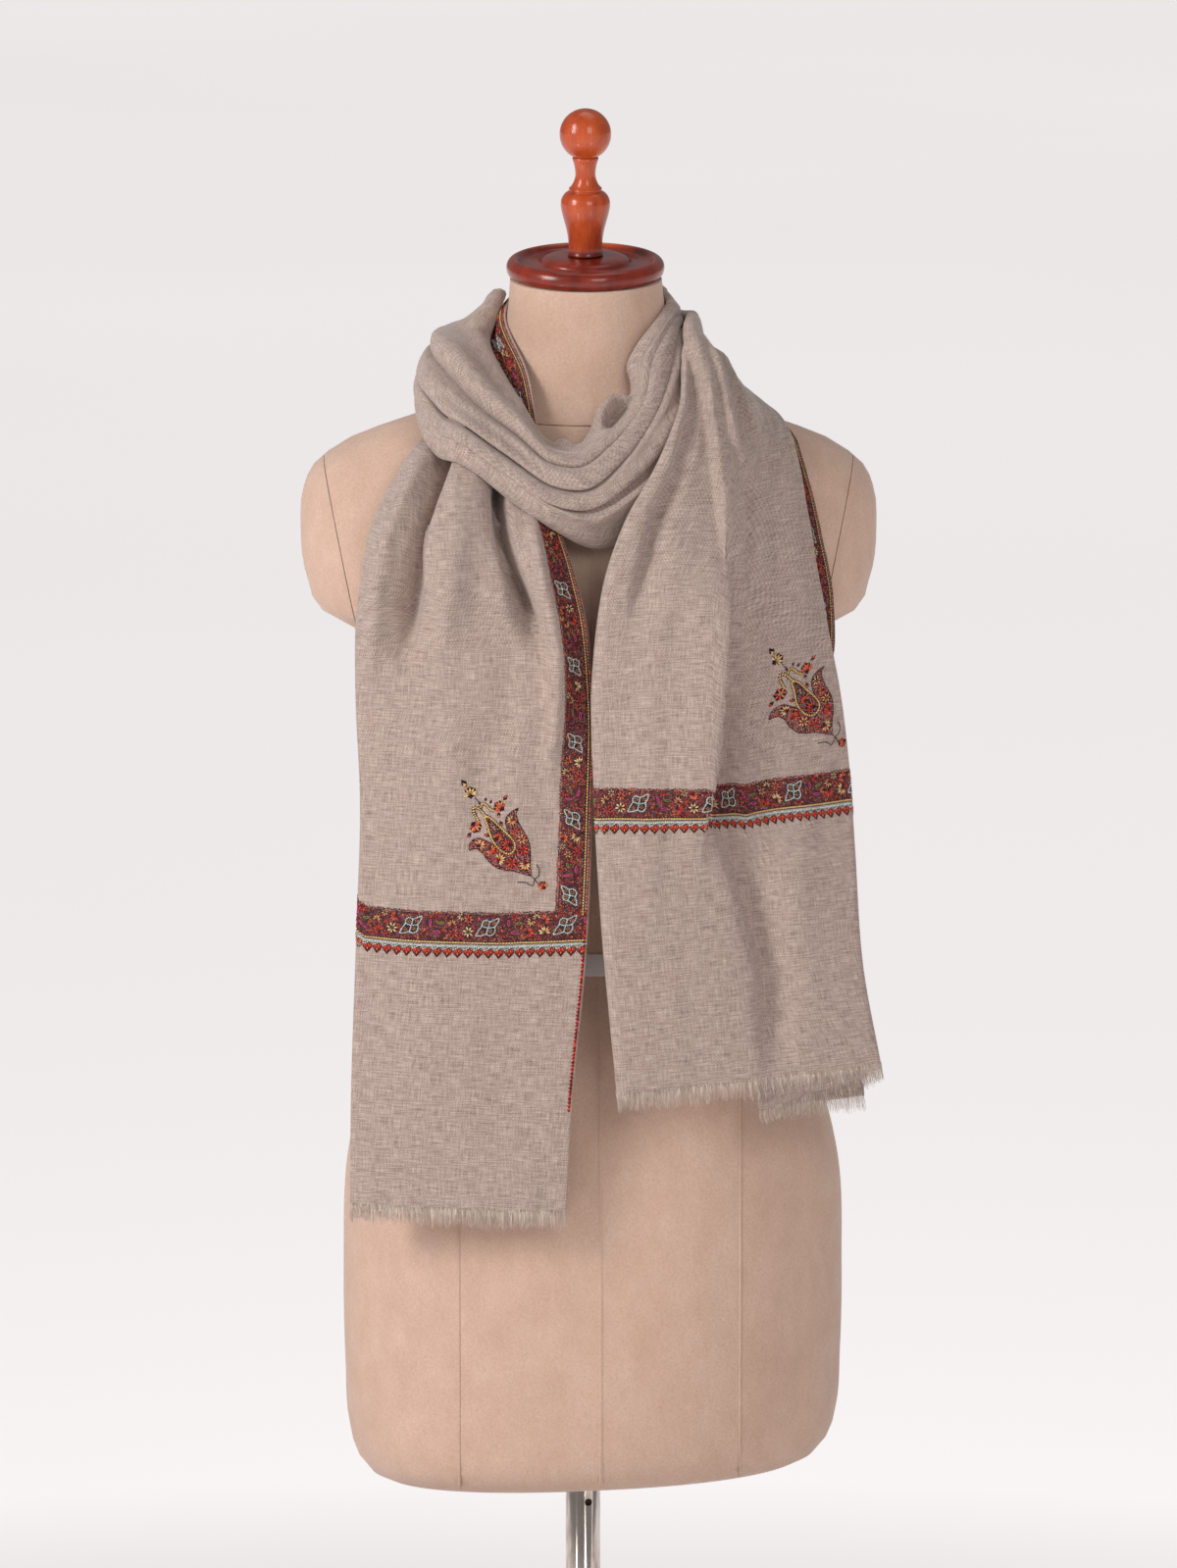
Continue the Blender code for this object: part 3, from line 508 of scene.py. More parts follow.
def spunPiece(name, profile, foot, steps=96, lean=0.0):
    # Draws the profile point by point in the XZ plane, spins it round Z and stands it on its foot
    deselectAll()
    bpy.ops.mesh.primitive_circle_add(vertices=3, radius=0.001)
    obj = bpy.context.active_object
    obj.name = name
    editAll(obj)
    bpy.ops.mesh.merge(type="CENTER")
    bpy.ops.transform.translate(value=(profile[0][0] * mm, 0, profile[0][1] * mm))
    for (r, z), (nextR, nextZ) in zip(profile[:-1], profile[1:]):
        step = ((nextR - r) * mm, 0, (nextZ - z) * mm)
        bpy.ops.mesh.extrude_region_move(TRANSFORM_OT_translate={"value": step})
    bpy.ops.mesh.select_all(action="SELECT")
    bpy.ops.mesh.spin(steps=steps, angle=2 * math.pi, center=(0, 0, 0), axis=(0, 0, 1))
    bpy.ops.mesh.select_all(action="SELECT")
    bpy.ops.mesh.remove_doubles(threshold=0.00001)
    bpy.ops.mesh.normals_make_consistent(inside=False)
    bpy.ops.object.mode_set(mode="OBJECT")
    obj.location = [c * mm for c in foot]
    obj.rotation_euler = (lean, 0, 0)
    applyPlace()
    bpy.ops.object.shade_smooth_by_angle(angle=math.radians(55))
    return obj


def cylinder(name, sides, radius, depth, place, turn=0.0):
    deselectAll()
    bpy.ops.mesh.primitive_cylinder_add(
        vertices=sides, radius=radius * mm, depth=depth * mm,
        rotation=(turn, 0, 0), location=[c * mm for c in place])
    bpy.context.active_object.name = name
    applyPlace()
    return bpy.context.active_object


def varnishedWood():
    made, tree, shader = newMaterial(
        "varnished wood", colour(150, 52, 24), 0.34,
        Coat_Weight=0.6, Coat_Roughness=0.1, Coat_IOR=1.45, Specular_IOR_Level=0.3)
    place = objectPlace(tree)
    figure = grain(tree, stretched(tree, place, (26, 26, 4)), 2.6, 5, 0.6)
    pores = grain(tree, stretched(tree, place, (700, 700, 60)), 1.6, 3, 0.6)
    height = node(tree, "ShaderNodeSeparateXYZ", {"Vector": place}).outputs["Z"]
    raised = between(tree, height, 1.2925, 1.2955)  # the finial's wood is redder than the cap's
    plate = mixed(tree, between(tree, figure, 0.34, 0.66), colour(98, 24, 12), colour(146, 42, 18))
    turned = mixed(tree, between(tree, figure, 0.34, 0.66), colour(160, 54, 22), colour(204, 90, 38))
    base = mixed(tree, raised, plate, turned)
    tint(tree, shader, over(tree, base, pores, 0.55, 0.75, 0.4, colour(84, 22, 10)))
    tree.links.new(between(tree, figure, 0.3, 0.7, 0.28, 0.4), shader.inputs["Roughness"])
    return made


def brightSteel():
    made, tree, shader = newMaterial("bright steel", colour(214, 212, 210), 0.12, Metallic=1.0)
    # Brownish streaks stretched upright, darkening the steel's colour and raising its roughness
    steelStreaks = grain(tree, stretched(tree, objectPlace(tree), (40, 40, 8)), 6, 4, 0.6)
    tree.links.new(between(tree, steelStreaks, 0.3, 0.7, 0.07, 0.2), shader.inputs["Roughness"])
    plainSteel, streakTone = colour(216, 206, 198), colour(176, 160, 148)
    tint(tree, shader, mixed(tree, between(tree, steelStreaks, 0.4, 0.7), plainSteel, streakTone))
    return made


def paintedHoleShade():
    # Near-black steel for the disc at the bottom of the pole's hole: painted shade inside the hole
    made, tree, shader = newMaterial("painted hole shade", colour(40, 36, 34), 0.5, Metallic=0.6)
    tone = grain(tree, objectPlace(tree), 900)
    tint(tree, shader, mixed(tree, tone, colour(30, 27, 26), colour(52, 47, 44)))
    return made


def turnedWood():
    wood, lean, top = varnishedWood(), neckTop["lean"], formRows[-1]
    up = leaning(lean)
    back = (top[3] - top[2]) / 2 - neckTop["front"][1]
    foot = Vector(neckTop["front"]) + Vector((top[4], back, back * math.tan(lean))) + up * 0.3
    cap = spunPiece("neck_cap_turned", cornersCut(capRim), foot, lean=lean)
    finishPiece(cap, wood, ["neck_cap"])
    radius, middle, steps = ballShape["radius"], ballShape["height"], ballShape["steps"]
    start = math.asin((finialStem[-1][1] - middle) / radius)
    turns = [start + (math.pi / 2 - start) * k / steps for k in range(1, steps + 1)]
    ball = [(radius * math.cos(turn), middle + radius * math.sin(turn)) for turn in turns]
    foot += up * (capRim[-1][1] + 0.2)
    finial = spunPiece("finial_turned", cornersCut(finialStem) + ball, foot, 72, lean)
    finishPiece(finial, wood, ["finial"])


def stand():
    steel = brightSteel()
    plate = spunPiece("stand_base_plate", cornersCut(basePlate), (pole["x"], 0, 0), 128)
    finishPiece(plate, steel, ["stand_base"])
    middle, depth = (pole["foot"] + pole["head"]) / 2, pole["head"] - pole["foot"]
    tube = cylinder("stand_pole_tube", 72, pole["radius"], depth, (pole["x"], 0, middle))
    hole, radius = (pole["holeX"], -pole["radius"], pole["holeHeight"]), pole["holeRadius"]
    cutter = cylinder("hole_cutter", 28, radius, pole["holeDepth"], hole, math.pi / 2)
    activate(tube)
    pocket = tube.modifiers.new("hole", "BOOLEAN")
    pocket.operation = "DIFFERENCE"
    pocket.solver = "EXACT"
    pocket.object = cutter
    bpy.ops.object.modifier_apply(modifier=pocket.name)
    bevelled(tube, 0.4, 2, 50, 40)
    finishPiece(tube, steel, ["stand_pole"])
    bpy.data.objects.remove(cutter)
    # A near-black disc at the bottom of the hole, as painted shade inside it
    behind = (hole[0], hole[1] + pole["plugInset"], hole[2])
    plug = cylinder("stand_pole_hole_shade", 28, radius + 0.1, 0.4, behind, math.pi / 2)
    finishPiece(plug, paintedHoleShade())
    ring = spunPiece("stand_collar_ring", cornersCut(collar), (pole["x"], 0, pole["collarFoot"]), 72)
    finishPiece(ring, steel, ["stand_collar"])


# The shawl

shawlRows = (
    # stretch, ax, ay, az, bx, by, bz, bow, roll, underA, underB, gap, beyond, c1, c2, c3
    ("tailLeft", -16, -140, 627, -168, -124, 630, 5, 0.0, 0, 140, 8, 0, 0.22, 0.5, 0.78),
    ("tailLeft", -12, -141, 705, -167, -125, 710, 6, 0.0, 0, 140, 8, 0, 0.22, 0.5, 0.78),
    ("tailLeft", -2, -141, 812, -163, -125, 822, 7, 0.0, 0, 138, 8, 0, 0.22, 0.5, 0.78),
    ("tailLeft", 2.5, -141, 913, -160, -124, 919, 9, 0.01, 0, 136, 8, 0, 0.24, 0.5, 0.76),
    ("tailLeft", 3.5, -140, 988, -163, -121, 1000, 12, 0.01, 0, 134, 8, 0, 0.26, 0.52, 0.76),
    ("tailLeft", -2, -137, 1048, -161, -114, 1062, 16, 0.02, 0, 130, 8, 0, 0.28, 0.55, 0.78),
    ("tailLeft", -11, -129, 1083, -151, -104, 1113, 18, 0.03, 0, 110, 8, 0, 0.3, 0.58, 0.8),
    ("tailLeft", -19, -117, 1106, -134, -84, 1146, 16, 0.04, 0, 70, 8, 0, 0.3, 0.58, 0.8),
    ("tailLeft", -26, -99, 1135, -118, -58, 1166, 12, 0.05, 0, 40, 7, 0, 0.28, 0.54, 0.78),
    ("neckWrap", -34, -79, 1167, -100, -40, 1174, 4, 0.08, 0, 30, 6, 0, 0.26, 0.5, 0.75),
    ("neckWrap", -42, -50, 1209, -92, -6, 1188, 3, 0.1, 0, 22, 5, 0, 0.25, 0.5, 0.75),
    ("neckWrap", -55, -4, 1245, -84, 24, 1202, 3, 0.1, 0, 18, 5, 0, 0.25, 0.5, 0.75),
    ("neckWrap", -45, 50, 1266, -60, 70, 1208, 3, 0.1, 0, 18, 5, 0, 0.22, 0.5, 0.75),
    ("neckWrap", 0, 69, 1272, 0, 84, 1206, 3, 0.1, 0, 18, 5, 0, 0.2, 0.45, 0.75),
    ("neckWrap", 45, 50, 1270, 58, 66, 1212, 3, 0.1, 0, 18, 5, 0, 0.22, 0.5, 0.75),
    ("neckWrap", 57, 11, 1261, 69, 25, 1218, 3, 0.14, 6, 16, 6, 0, 0.28, 0.5, 0.72),
    ("loopFront", 50, -22, 1251, 71, -19, 1212, 4, 0.22, 8, 14, 8, 0, 0.10, 0.36, 0.80),
    ("loopFront", 31, -54, 1224, 73, -52, 1183, 7, 0.3, 12, 14, 11, 0, 0.11, 0.38, 0.82),
    ("loopFront", 21, -70, 1196, 66, -86, 1152, 12, 0.36, 14, 14, 13, 0, 0.17, 0.38, 0.77),
    ("loopFront", 4, -84, 1179, 42, -110, 1116, 17, 0.38, 14, 16, 14, 0, 0.2, 0.43, 0.69),
    ("loopFront", -12, -90, 1167, 8, -121, 1098, 20, 0.38, 14, 16, 14, 0, 0.25, 0.53, 0.73),
    ("loopFront", -30, -86, 1171, -24, -120, 1107, 20, 0.37, 14, 16, 14, 0, 0.34, 0.64, 0.88),
    ("loopFront", -47, -66, 1194, -66, -112, 1133, 20, 0.36, 14, 16, 14, 0, 0.45, 0.77, 0.95),
    ("loopFront", -61, -40, 1215, -103, -92, 1153, 19, 0.33, 14, 16, 14, 0, 0.48, 0.79, 0.94),
    ("loopFront", -73, -14, 1236, -122, -54, 1182, 16, 0.28, 14, 16, 14, 0, 0.53, 0.82, 0.93),
    ("wrapBack", -77, 14, 1241, -121, 0, 1198, 11, 0.24, 14, 14, 12, 0, 0.45, 0.72, 0.9),
    ("wrapBack", -70, 44, 1246, -117, 48, 1176, 8, 0.22, 14, 14, 11, 0, 0.3, 0.5, 0.8),
    ("wrapBack", -47, 74, 1252, -86, 100, 1136, 7, 0.19, 14, 14, 11, 0, 0.22, 0.44, 0.7),
    ("wrapBack", 0, 88, 1256, 2, 113, 1116, 7, 0.17, 14, 14, 11, 0, 0.17, 0.4, 0.68),
    ("wrapBack", 45, 72, 1247, 87, 97, 1136, 5, 0.16, 14, 14, 10, 0, 0.2, 0.47, 0.76),
    ("wrapBack", 60, 44, 1243, 108, 62, 1177, 3, 0.14, 14, 8, 8, 0, 0.26, 0.5, 0.76),
    ("tailRight", 65, 16, 1246, 99, 33, 1196, 2, 0.08, 20, 24, 8, 8, 0.22, 0.46, 0.72),
    ("tailRight", 66.5, -20, 1244, 126, -13, 1180, 1, 0.05, 24, 36, 8, 12, 0.2, 0.44, 0.7),
    ("tailRight", 67, -60, 1219, 146, -60, 1152, 4, 0.04, 30, 44, 9, 17, 0.18, 0.42, 0.7),
    ("tailRight", 60, -96, 1186, 155, -82, 1114, 6, 0.03, 34, 54, 11, 21, 0.18, 0.42, 0.7),
    ("tailRight", 46, -128, 1151, 162, -97, 1074, 7, 0.03, 38, 64, 12, 21, 0.2, 0.44, 0.7),
    ("tailRight", 28, -148, 1118, 169, -106, 1035, 8, 0.03, 40, 74, 12, 13, 0.22, 0.46, 0.72),
    ("tailRight", 13, -157, 1077, 177, -114, 991, 8, 0.02, 40, 84, 12, -4, 0.24, 0.48, 0.74),
    ("tailRight", 4, -159, 1010, 183, -119, 940, 8, 0.02, 40, 86, 12, -4, 0.25, 0.5, 0.75),
    ("tailRight", 5, -158, 928, 187, -122, 883, 8, 0.01, 40, 86, 12, 1.5, 0.25, 0.5, 0.75),
    ("tailRight", 10, -157, 838, 192, -124, 809, 7, 0.0, 40, 86, 12, -3, 0.25, 0.5, 0.75),
    ("tailRight", 21, -155, 713, 206, -126, 730, 5, 0.0, 40, 84, 12, -10, 0.25, 0.5, 0.75),
)
stretchNames = tuple(dict.fromkeys(row[0] for row in shawlRows))

cloth = {
    # half the wall, the step along it, and steps across a layer under it, a turn and a roll
    "half": 0.35, "station": 4.6, "ahead": 2, "underSteps": 7, "turnSteps": 6, "rollSteps": 21,
    # how it lies over the form and over itself
    "formSides": 96, "formLift": 0.9, "clothLift": 1.5, "reach": 60, "spread": 14,
    "joinRows": 14, "clearRows": 12,
    # the rolls of the loop, the last layer of the right tail, and where the weave starts to run from there
    "loopFade": 60, "loopSkew": 0.55, "loopOverhang": 5.5, "lastDrop": 20, "lastDropReach": 150,
    "weaveFrom": 0.4, "weaveOver": 0.35,
}

# Soft ridges and troughs: height, how far they spread towards edge A and edge B, and a path of
# (distance along the shawl from the left hem, share of the width from A)
folds = (
    ("left valley", -20.0, 5, 10, ((575, 0.66), (506, 0.68), (484, 0.69), (458, 0.71), (423, 0.745),
        (392, 0.77), (368, 0.78))),
    ("dark valley", -26.0, 6, 8, ((585, 0.44), (502, 0.40), (484, 0.37), (458, 0.31), (445, 0.28),
        (418, 0.23), (388, 0.205))),
    ("long trough", -4.0, 10, 14, ((450, 0.26), (405, 0.32), (370, 0.34), (317, 0.45), (250, 0.52))),
    ("inner ridge", 11.0, 7, 7, ((530, 0.14), (480, 0.16), (440, 0.14), (400, 0.12), (350, 0.15),
        (300, 0.2))),
    ("middle ridge", 12.0, 12, 11, ((570, 0.56), (480, 0.56), (440, 0.57), (380, 0.64))),
    ("outer ridge", 8.0, 8, 9, ((550, 0.88), (458, 0.9), (409, 0.92), (340, 0.94))),
    ("low left wave", 1.8, 22, 26, ((300, 0.72), (220, 0.68), (120, 0.7), (20, 0.74))),
    ("low left trough", -1.6, 18, 22, ((290, 0.28), (200, 0.3), (100, 0.26), (10, 0.3))),
    ("pleat", 9.0, 1.8, 24, (
        (1540, 0.0), (1615, 0.02), (1646, 0.10), (1664, 0.16), (1690, 0.24), (1725, 0.34), (1752, 0.39),
        (1778, 0.45), (1812, 0.46))),
    ("lower pleat", 17.0, 34, 2.0, ((1735, 0.33), (1778, 0.43), (1805, 0.445), (1844, 0.455), (1893, 0.435),
        (1937, 0.40), (1985, 0.385))),
    ("pleat shade", -14.0, 6, 18, ((1790, 0.5), (1844, 0.51), (1893, 0.48), (1937, 0.46), (1978, 0.54),
        (2011, 0.58), (2047, 0.61), (2089, 0.58), (2140, 0.56))),
    ("shoulder ridge", 6.5, 3.0, 5.5, ((1590, 0.12), (1624, 0.21), (1655, 0.28), (1677, 0.36), (1688, 0.46),
        (1700, 0.62))),
    ("upper ridge", 5.0, 3.5, 5.5, ((1550, 0.46), (1589, 0.46), (1620, 0.45), (1640, 0.49), (1655, 0.58),
        (1664, 0.72))),
    ("short trough", -4.0, 4, 6, ((1690, 0.47), (1708, 0.50), (1734, 0.53), (1785, 0.57))),
    ("loop side trough", -12.0, 5, 10, ((1590, 0.03), (1660, 0.06), (1725, 0.09), (1783, 0.12),
        (1850, 0.13))),
    ("left panel wave", 3.0, 14, 12, ((1730, 0.18), (1800, 0.22), (1866, 0.22), (1950, 0.18),
        (2040, 0.18))),
    ("outer panel wave", 2.2, 18, 16, ((1740, 0.74), (1830, 0.76), (1920, 0.78), (2060, 0.72))),
    ("outer panel trough", -2.4, 12, 16, ((1790, 0.62), (1870, 0.64), (1960, 0.62), (2080, 0.56))),
    ("hem wave", -2.5, 10, 12, ((2040, 0.6), (2090, 0.62), (2126, 0.64), (2140, 0.64))),
    ("ear hollow", -14.0, 5, 6, ((974, 0.11), (990, 0.13), (1004, 0.13), (1020, 0.11))),
    ("loop top crease", -2.5, 3, 4, ((1120, 0.22), (1160, 0.22), (1205, 0.3))),
    ("loop slant crease", -3.0, 3, 5, ((1070, 0.5), (1100, 0.6), (1130, 0.62), (1190, 0.68))),
    ("loop side crease", -2.5, 3, 5, ((915, 0.6), (950, 0.62), (990, 0.56), (1030, 0.58))),
)

# Where a fold laps over what is beside it: how far towards B, reach towards A and towards B, and its path
laps = (
    ("slot lap", 9.0, 13, 4.5, ((560, 0.60), (506, 0.615), (484, 0.625), (458, 0.64), (436, 0.665),
        (418, 0.685))),
    ("pocket lap", -8.0, 4.5, 12, ((570, 0.50), (502, 0.485), (484, 0.46), (458, 0.405), (440, 0.36),
        (415, 0.31))),
    ("pleat lap", 5.0, 16, 2.5, ((1700, 0.25), (1752, 0.38), (1778, 0.43), (1805, 0.445), (1844, 0.455),
        (1893, 0.435), (1937, 0.40), (1975, 0.385))),
)
# name, distance along, reach along, inward, outward, reach across
lips = (
    ("top fold", 1246, 30, 27.0, 5.0, 13),
    ("ear", 998, 21, 6.5, 14.0, 9),
    ("upper ear", 968, 17, -7.5, 2.0, 9),
    ("neck side ear", 925, 12, 1.0, 2.0, 9),
    ("front notch", 1058, 7, 4.0, 3.0, 6),
    ("front dip", 1038, 7, -1.5, -1.0, 7),
)
gather = {
    "at": (0, 250, 420, 520, 880, 1250, 1560, 1760, 1950, 2130),
    "height": (0.5, 0.6, 1.4, 2.0, 1.6, 1.8, 2.0, 1.3, 0.7, 0.5),
    "longWave": (17, 95), "shortWave": (8, 42), "shortHeight": 0.4,
}


def rollShape(share, outer, skew):
    share = share**skew
    if outer:
        return 0.5 - 0.5 * math.cos(2 * math.pi * share)
    return (1 - abs(2 * share - 1) ** 2.4) ** 0.8


def shawlSection(row, foldsB, skew, overhang):
    # From the layer under A, over the front, to the layers under B.
    # Gives the distances from A and out, the share of the last drop, and where the first layer under B ends.
    width = np.linalg.norm(row[3:6] - row[0:3])
    bow, roll, underA, underB, gap, beyond = row[6:12]
    underA = max(underA, 3.0)
    radiusA = max(min(gap, underA) / 2, 0.7) if row[8] > 3 else 0.7
    radiusB = min(gap, underB) / 2 / foldsB
    start, end = radiusA, width - radiusB
    inner = end - underB
    creases = [0.0, *row[12:15], 1.0]
    steps, turns, rollSteps = cloth["underSteps"], cloth["turnSteps"], cloth["rollSteps"]
    halfTurn = [math.pi * k / turns for k in range(1, turns + 1)]
    points = [(start + underA * (1 - k / steps), -2 * radiusA) for k in range(steps)]
    for k in range(turns):
        turn = math.pi * (1 - k / turns)
        points.append((start - radiusA * math.sin(turn), radiusA * (math.cos(turn) - 1)))
    for number, (low, high) in enumerate(zip(creases[:-1], creases[1:])):
        for share in [k / rollSteps for k in range(rollSteps)]:
            height = roll * (high - low) * width * rollShape(share, number in (0, 3), skew)
            hump = float(softStep((share - 0.5) / 0.34) * softStep((1 - share) / 0.16))
            lap = overhang * hump * (number < 3)
            points.append((start + (end - start) * (low + (high - low) * share) + lap, height))
    points.append((end, 0.0))
    front = len(points) - 1
    points += [(end + radiusB * math.sin(turn), radiusB * (math.cos(turn) - 1)) for turn in halfTurn]
    points += [(end - underB * k / steps, -2 * radiusB) for k in range(1, steps + 1)]
    middle = len(points) - 1
    points += [(inner - radiusB * math.sin(turn), radiusB * (math.cos(turn) - 3)) for turn in halfTurn]
    points += [(inner + (underB + beyond) * k / steps, -4 * radiusB) for k in range(1, steps + 1)]
    points = np.array(points)
    run = runOf(points)
    share = np.clip(points[:, 0] / width, 0, 1)
    drop = np.clip((run - run[front]) / (run[middle] - run[front]), 0, 1) * (foldsB > 1)
    return points[:, 0], points[:, 1] + bow * 4 * share * (1 - share), drop, middle


def relief(place, share, width, table):
    # How far the folds of a table move the cloth at this place along it
    raised = np.zeros_like(share)
    across = share * width
    for name, height, towardsA, towardsB, path in table:
        nearest = np.full(len(share), 1e9)
        offset, reached = np.zeros(len(share)), np.zeros(len(share))
        corners = np.array(path, float) * (1, width)
        lengths = runOf(corners)
        for a, b, at in zip(corners[:-1], corners[1:], lengths):
            line = b - a
            t = np.clip(((place - a[0]) * line[0] + (across - a[1]) * line[1]) / line.dot(line), 0, 1)
            away = np.hypot(place - a[0] - line[0] * t, across - a[1] - line[1] * t)
            near = away < nearest
            nearest = np.where(near, away, nearest)
            offset = np.where(near, across - a[1] - line[1] * t, offset)
            reached = np.where(near, at + t * np.linalg.norm(line), reached)
        reach = np.where(offset > 0, towardsB, towardsA)
        taper = softStep(np.minimum(reached, lengths[-1] - reached) / (0.3 * lengths[-1]))
        raised += height * taper * np.exp(-((nearest / reach) ** 2))
    return raised


def edgeLips(place, share, width):
    # How far edge A moves across and out where it curls out in a lip
    slip, lift = np.zeros_like(share), np.zeros_like(share)
    for name, at, length, inward, outward, reach in lips:
        weight = np.exp(-(((place - at) / length) ** 4)) * np.exp(-((share * width / reach) ** 2))
        slip -= inward * weight
        lift += outward * weight
    return slip, lift


def unevenness(place, across):
    # Low uneven waves that run along the shawl, stronger where it is gathered
    (wide, long), (narrow, short) = gather["longWave"], gather["shortWave"]
    waves = []
    for u in across:
        low = noise.noise(Vector((u / wide, place / long, 3.7)))
        waves.append(low + gather["shortHeight"] * noise.noise(Vector((u / narrow, place / short, 9.1))))
    return np.interp(place, gather["at"], gather["height"]) * np.array(waves)


def layerTree(grid):
    return BVHTree.FromPolygons(grid.reshape(-1, 3).tolist(), gridFaces(*grid.shape[:2]).tolist())


def formTree():
    rings = formRings(cloth["formSides"])
    return layerTree(np.concatenate([rings, rings[:, :1]], axis=1))


def pushNeeded(points, outs, layers):
    # How far each point has to move out to clear the layers below
    need = np.zeros(points.shape[:2])
    for i, (line, out) in enumerate(zip(points, outs)):
        out = Vector(out)
        for j, point in enumerate(line):
            point = Vector(point)
            for tree, lift in layers:
                clear = lift + cloth["half"]
                spot = tree.ray_cast(point + out * cloth["reach"], -out, cloth["reach"] + clear)[0]
                if spot:
                    need[i, j] = max(need[i, j], (spot - point).dot(out) + clear)
    return need


def averaged(values):
    padded = np.pad(values, ((1, 1), (0, 0)), mode="edge")
    return (padded[:-2] + 2 * padded[1:-1] + padded[2:]) / 4


def spreadPush(need, across):
    # Layers above one another move together, and the push fades softly both ways
    felt = np.zeros_like(need)
    for i, (line, u) in enumerate(zip(need, across)):
        weight = np.clip(1.25 - np.abs(u[:, None] - u[None, :]) / cloth["spread"], 0, 1)
        felt[i] = (weight * line[None, :]).max(axis=1)
    wide = felt.copy()
    for k, fade in ((1, 0.88), (2, 0.76)):
        wide[k:] = np.maximum(wide[k:], felt[:-k] * fade)
        wide[:-k] = np.maximum(wide[:-k], felt[k:] * fade)
    for _ in range(5):
        wide = averaged(averaged(wide).T).T
    return np.maximum(wide, need)


def shawlLines():
    # The cloth line by line across, before it lies on anything: points, ways out and distances across.
    # Gives the first row of each next stretch and the column where the first layer under B ends too.
    values = np.array([row[1:] for row in shawlRows], float)
    along = runOf((values[:, 0:3] + values[:, 3:6]) / 2)
    names = [row[0] for row in shawlRows]
    last = [len(names) - 1 - names[::-1].index(name) for name in stretchNames]
    ends = [(along[row] + along[min(row + 1, len(along) - 1)]) / 2 for row in last]
    where = np.linspace(0, along[-1], int(along[-1] / cloth["station"]) + 1)
    rows = smoothThrough(along, values, where)
    ahead = smoothThrough(along, values, np.minimum(where + cloth["ahead"], along[-1]))
    behind = smoothThrough(along, values, np.maximum(where - cloth["ahead"], 0))
    loopStart, tailStart = ends[1], ends[3]
    base, outs, across = [], [], []
    for place, row, fore, aft in zip(where, rows, ahead, behind):
        travel = (fore[0:3] + fore[3:6]) - (aft[0:3] + aft[3:6])
        travel /= np.linalg.norm(travel)
        side = row[3:6] - row[0:3]
        width = np.linalg.norm(side)
        side /= width
        out = np.cross(travel, side)
        out /= np.linalg.norm(out)
        foldsB = 1 + float(softStep((place - tailStart + 20) / 40))
        fade = cloth["loopFade"]
        inLoop = float(softStep((place - loopStart) / fade) * softStep((tailStart - place) / fade))
        skew, overhang = 1 + cloth["loopSkew"] * inLoop, cloth["loopOverhang"] * inLoop
        u, n, drop, middle = shawlSection(row, foldsB, skew, overhang)
        toHem = min((along[-1] - place) / cloth["lastDropReach"], 1)
        lower = travel * cloth["lastDrop"] * (1 - toHem) ** 2
        share = np.clip(u / width, 0, 1)
        slip, lift = edgeLips(place, share, width)
        u = u + slip + relief(place, share, width, laps)
        n = n + relief(place, share, width, folds) + lift + unevenness(place, u)
        base.append(row[0:3] + side * u[:, None] + out * n[:, None] + lower * drop[:, None])
        outs.append(out)
        across.append(u)
    stops = [int(np.searchsorted(where, end, side="right")) for end in ends]
    return np.array(base), np.array(outs)[:, None, :], np.array(across), stops, middle


def shawlGrid(below):
    # The middle of the cloth along the whole shawl, with each stretch lying over what is below it
    base, outs, across, stops, middle = shawlLines()
    grid, pushed = base.copy(), np.zeros(base.shape[:2])
    layers, near, first = [(below, cloth["formLift"])], [], 0
    for stop in stops:
        columns = base.shape[1] if stop == len(base) else middle + 1  # the right tail has its last layer too
        need = pushNeeded(base[first:stop, :columns], outs[first:stop, 0], layers + near)
        felt = spreadPush(need, across[first:stop, :columns])
        for k in range(cloth["joinRows"] if first else 0):
            t = float(softStep(k / cloth["joinRows"]))
            felt[k] = np.maximum(need[k], pushed[first - 1, :columns] * (1 - t) + felt[k] * t)
        pushed[first:stop, :columns] = felt
        pushed[first:stop, columns:] = felt[:, -1:]
        grid[first:stop] = base[first:stop] + outs[first:stop] * pushed[first:stop, :, None]
        # The next stretch grows out of this one, so at first it clears only the rows before its last ones
        if near:
            layers.append((whole, cloth["clothLift"]))
        whole = layerTree(grid[first:stop, :columns])
        near = [(layerTree(grid[first:stop - cloth["clearRows"], :columns]), cloth["clothLift"])]
        first = stop
    return grid, middle, stops[-2]


def wallPiece(name, grid, half, places):
    # A closed thin wall round a grid of middle points, with their places in the weave
    total, normal = grid.shape[0] * grid.shape[1], gridNormals(grid)
    points = np.concatenate([(grid + normal * half).reshape(-1, 3), (grid - normal * half).reshape(-1, 3)])
    front = gridFaces(*grid.shape[:2])
    index = np.arange(total).reshape(grid.shape[:2])
    rim = np.concatenate([index[0, :-1], index[:-1, -1], index[-1, :0:-1], index[:0:-1, 0]])
    following = np.roll(rim, -1)
    edge = np.stack([rim, following, following + total, rim + total], axis=1)
    obj = meshPiece(name, points, np.concatenate([front, front[:, ::-1] + total, edge]))
    weaveUv(obj, np.tile(places.reshape(-1, 2) * mm, (2, 1)))
    return obj


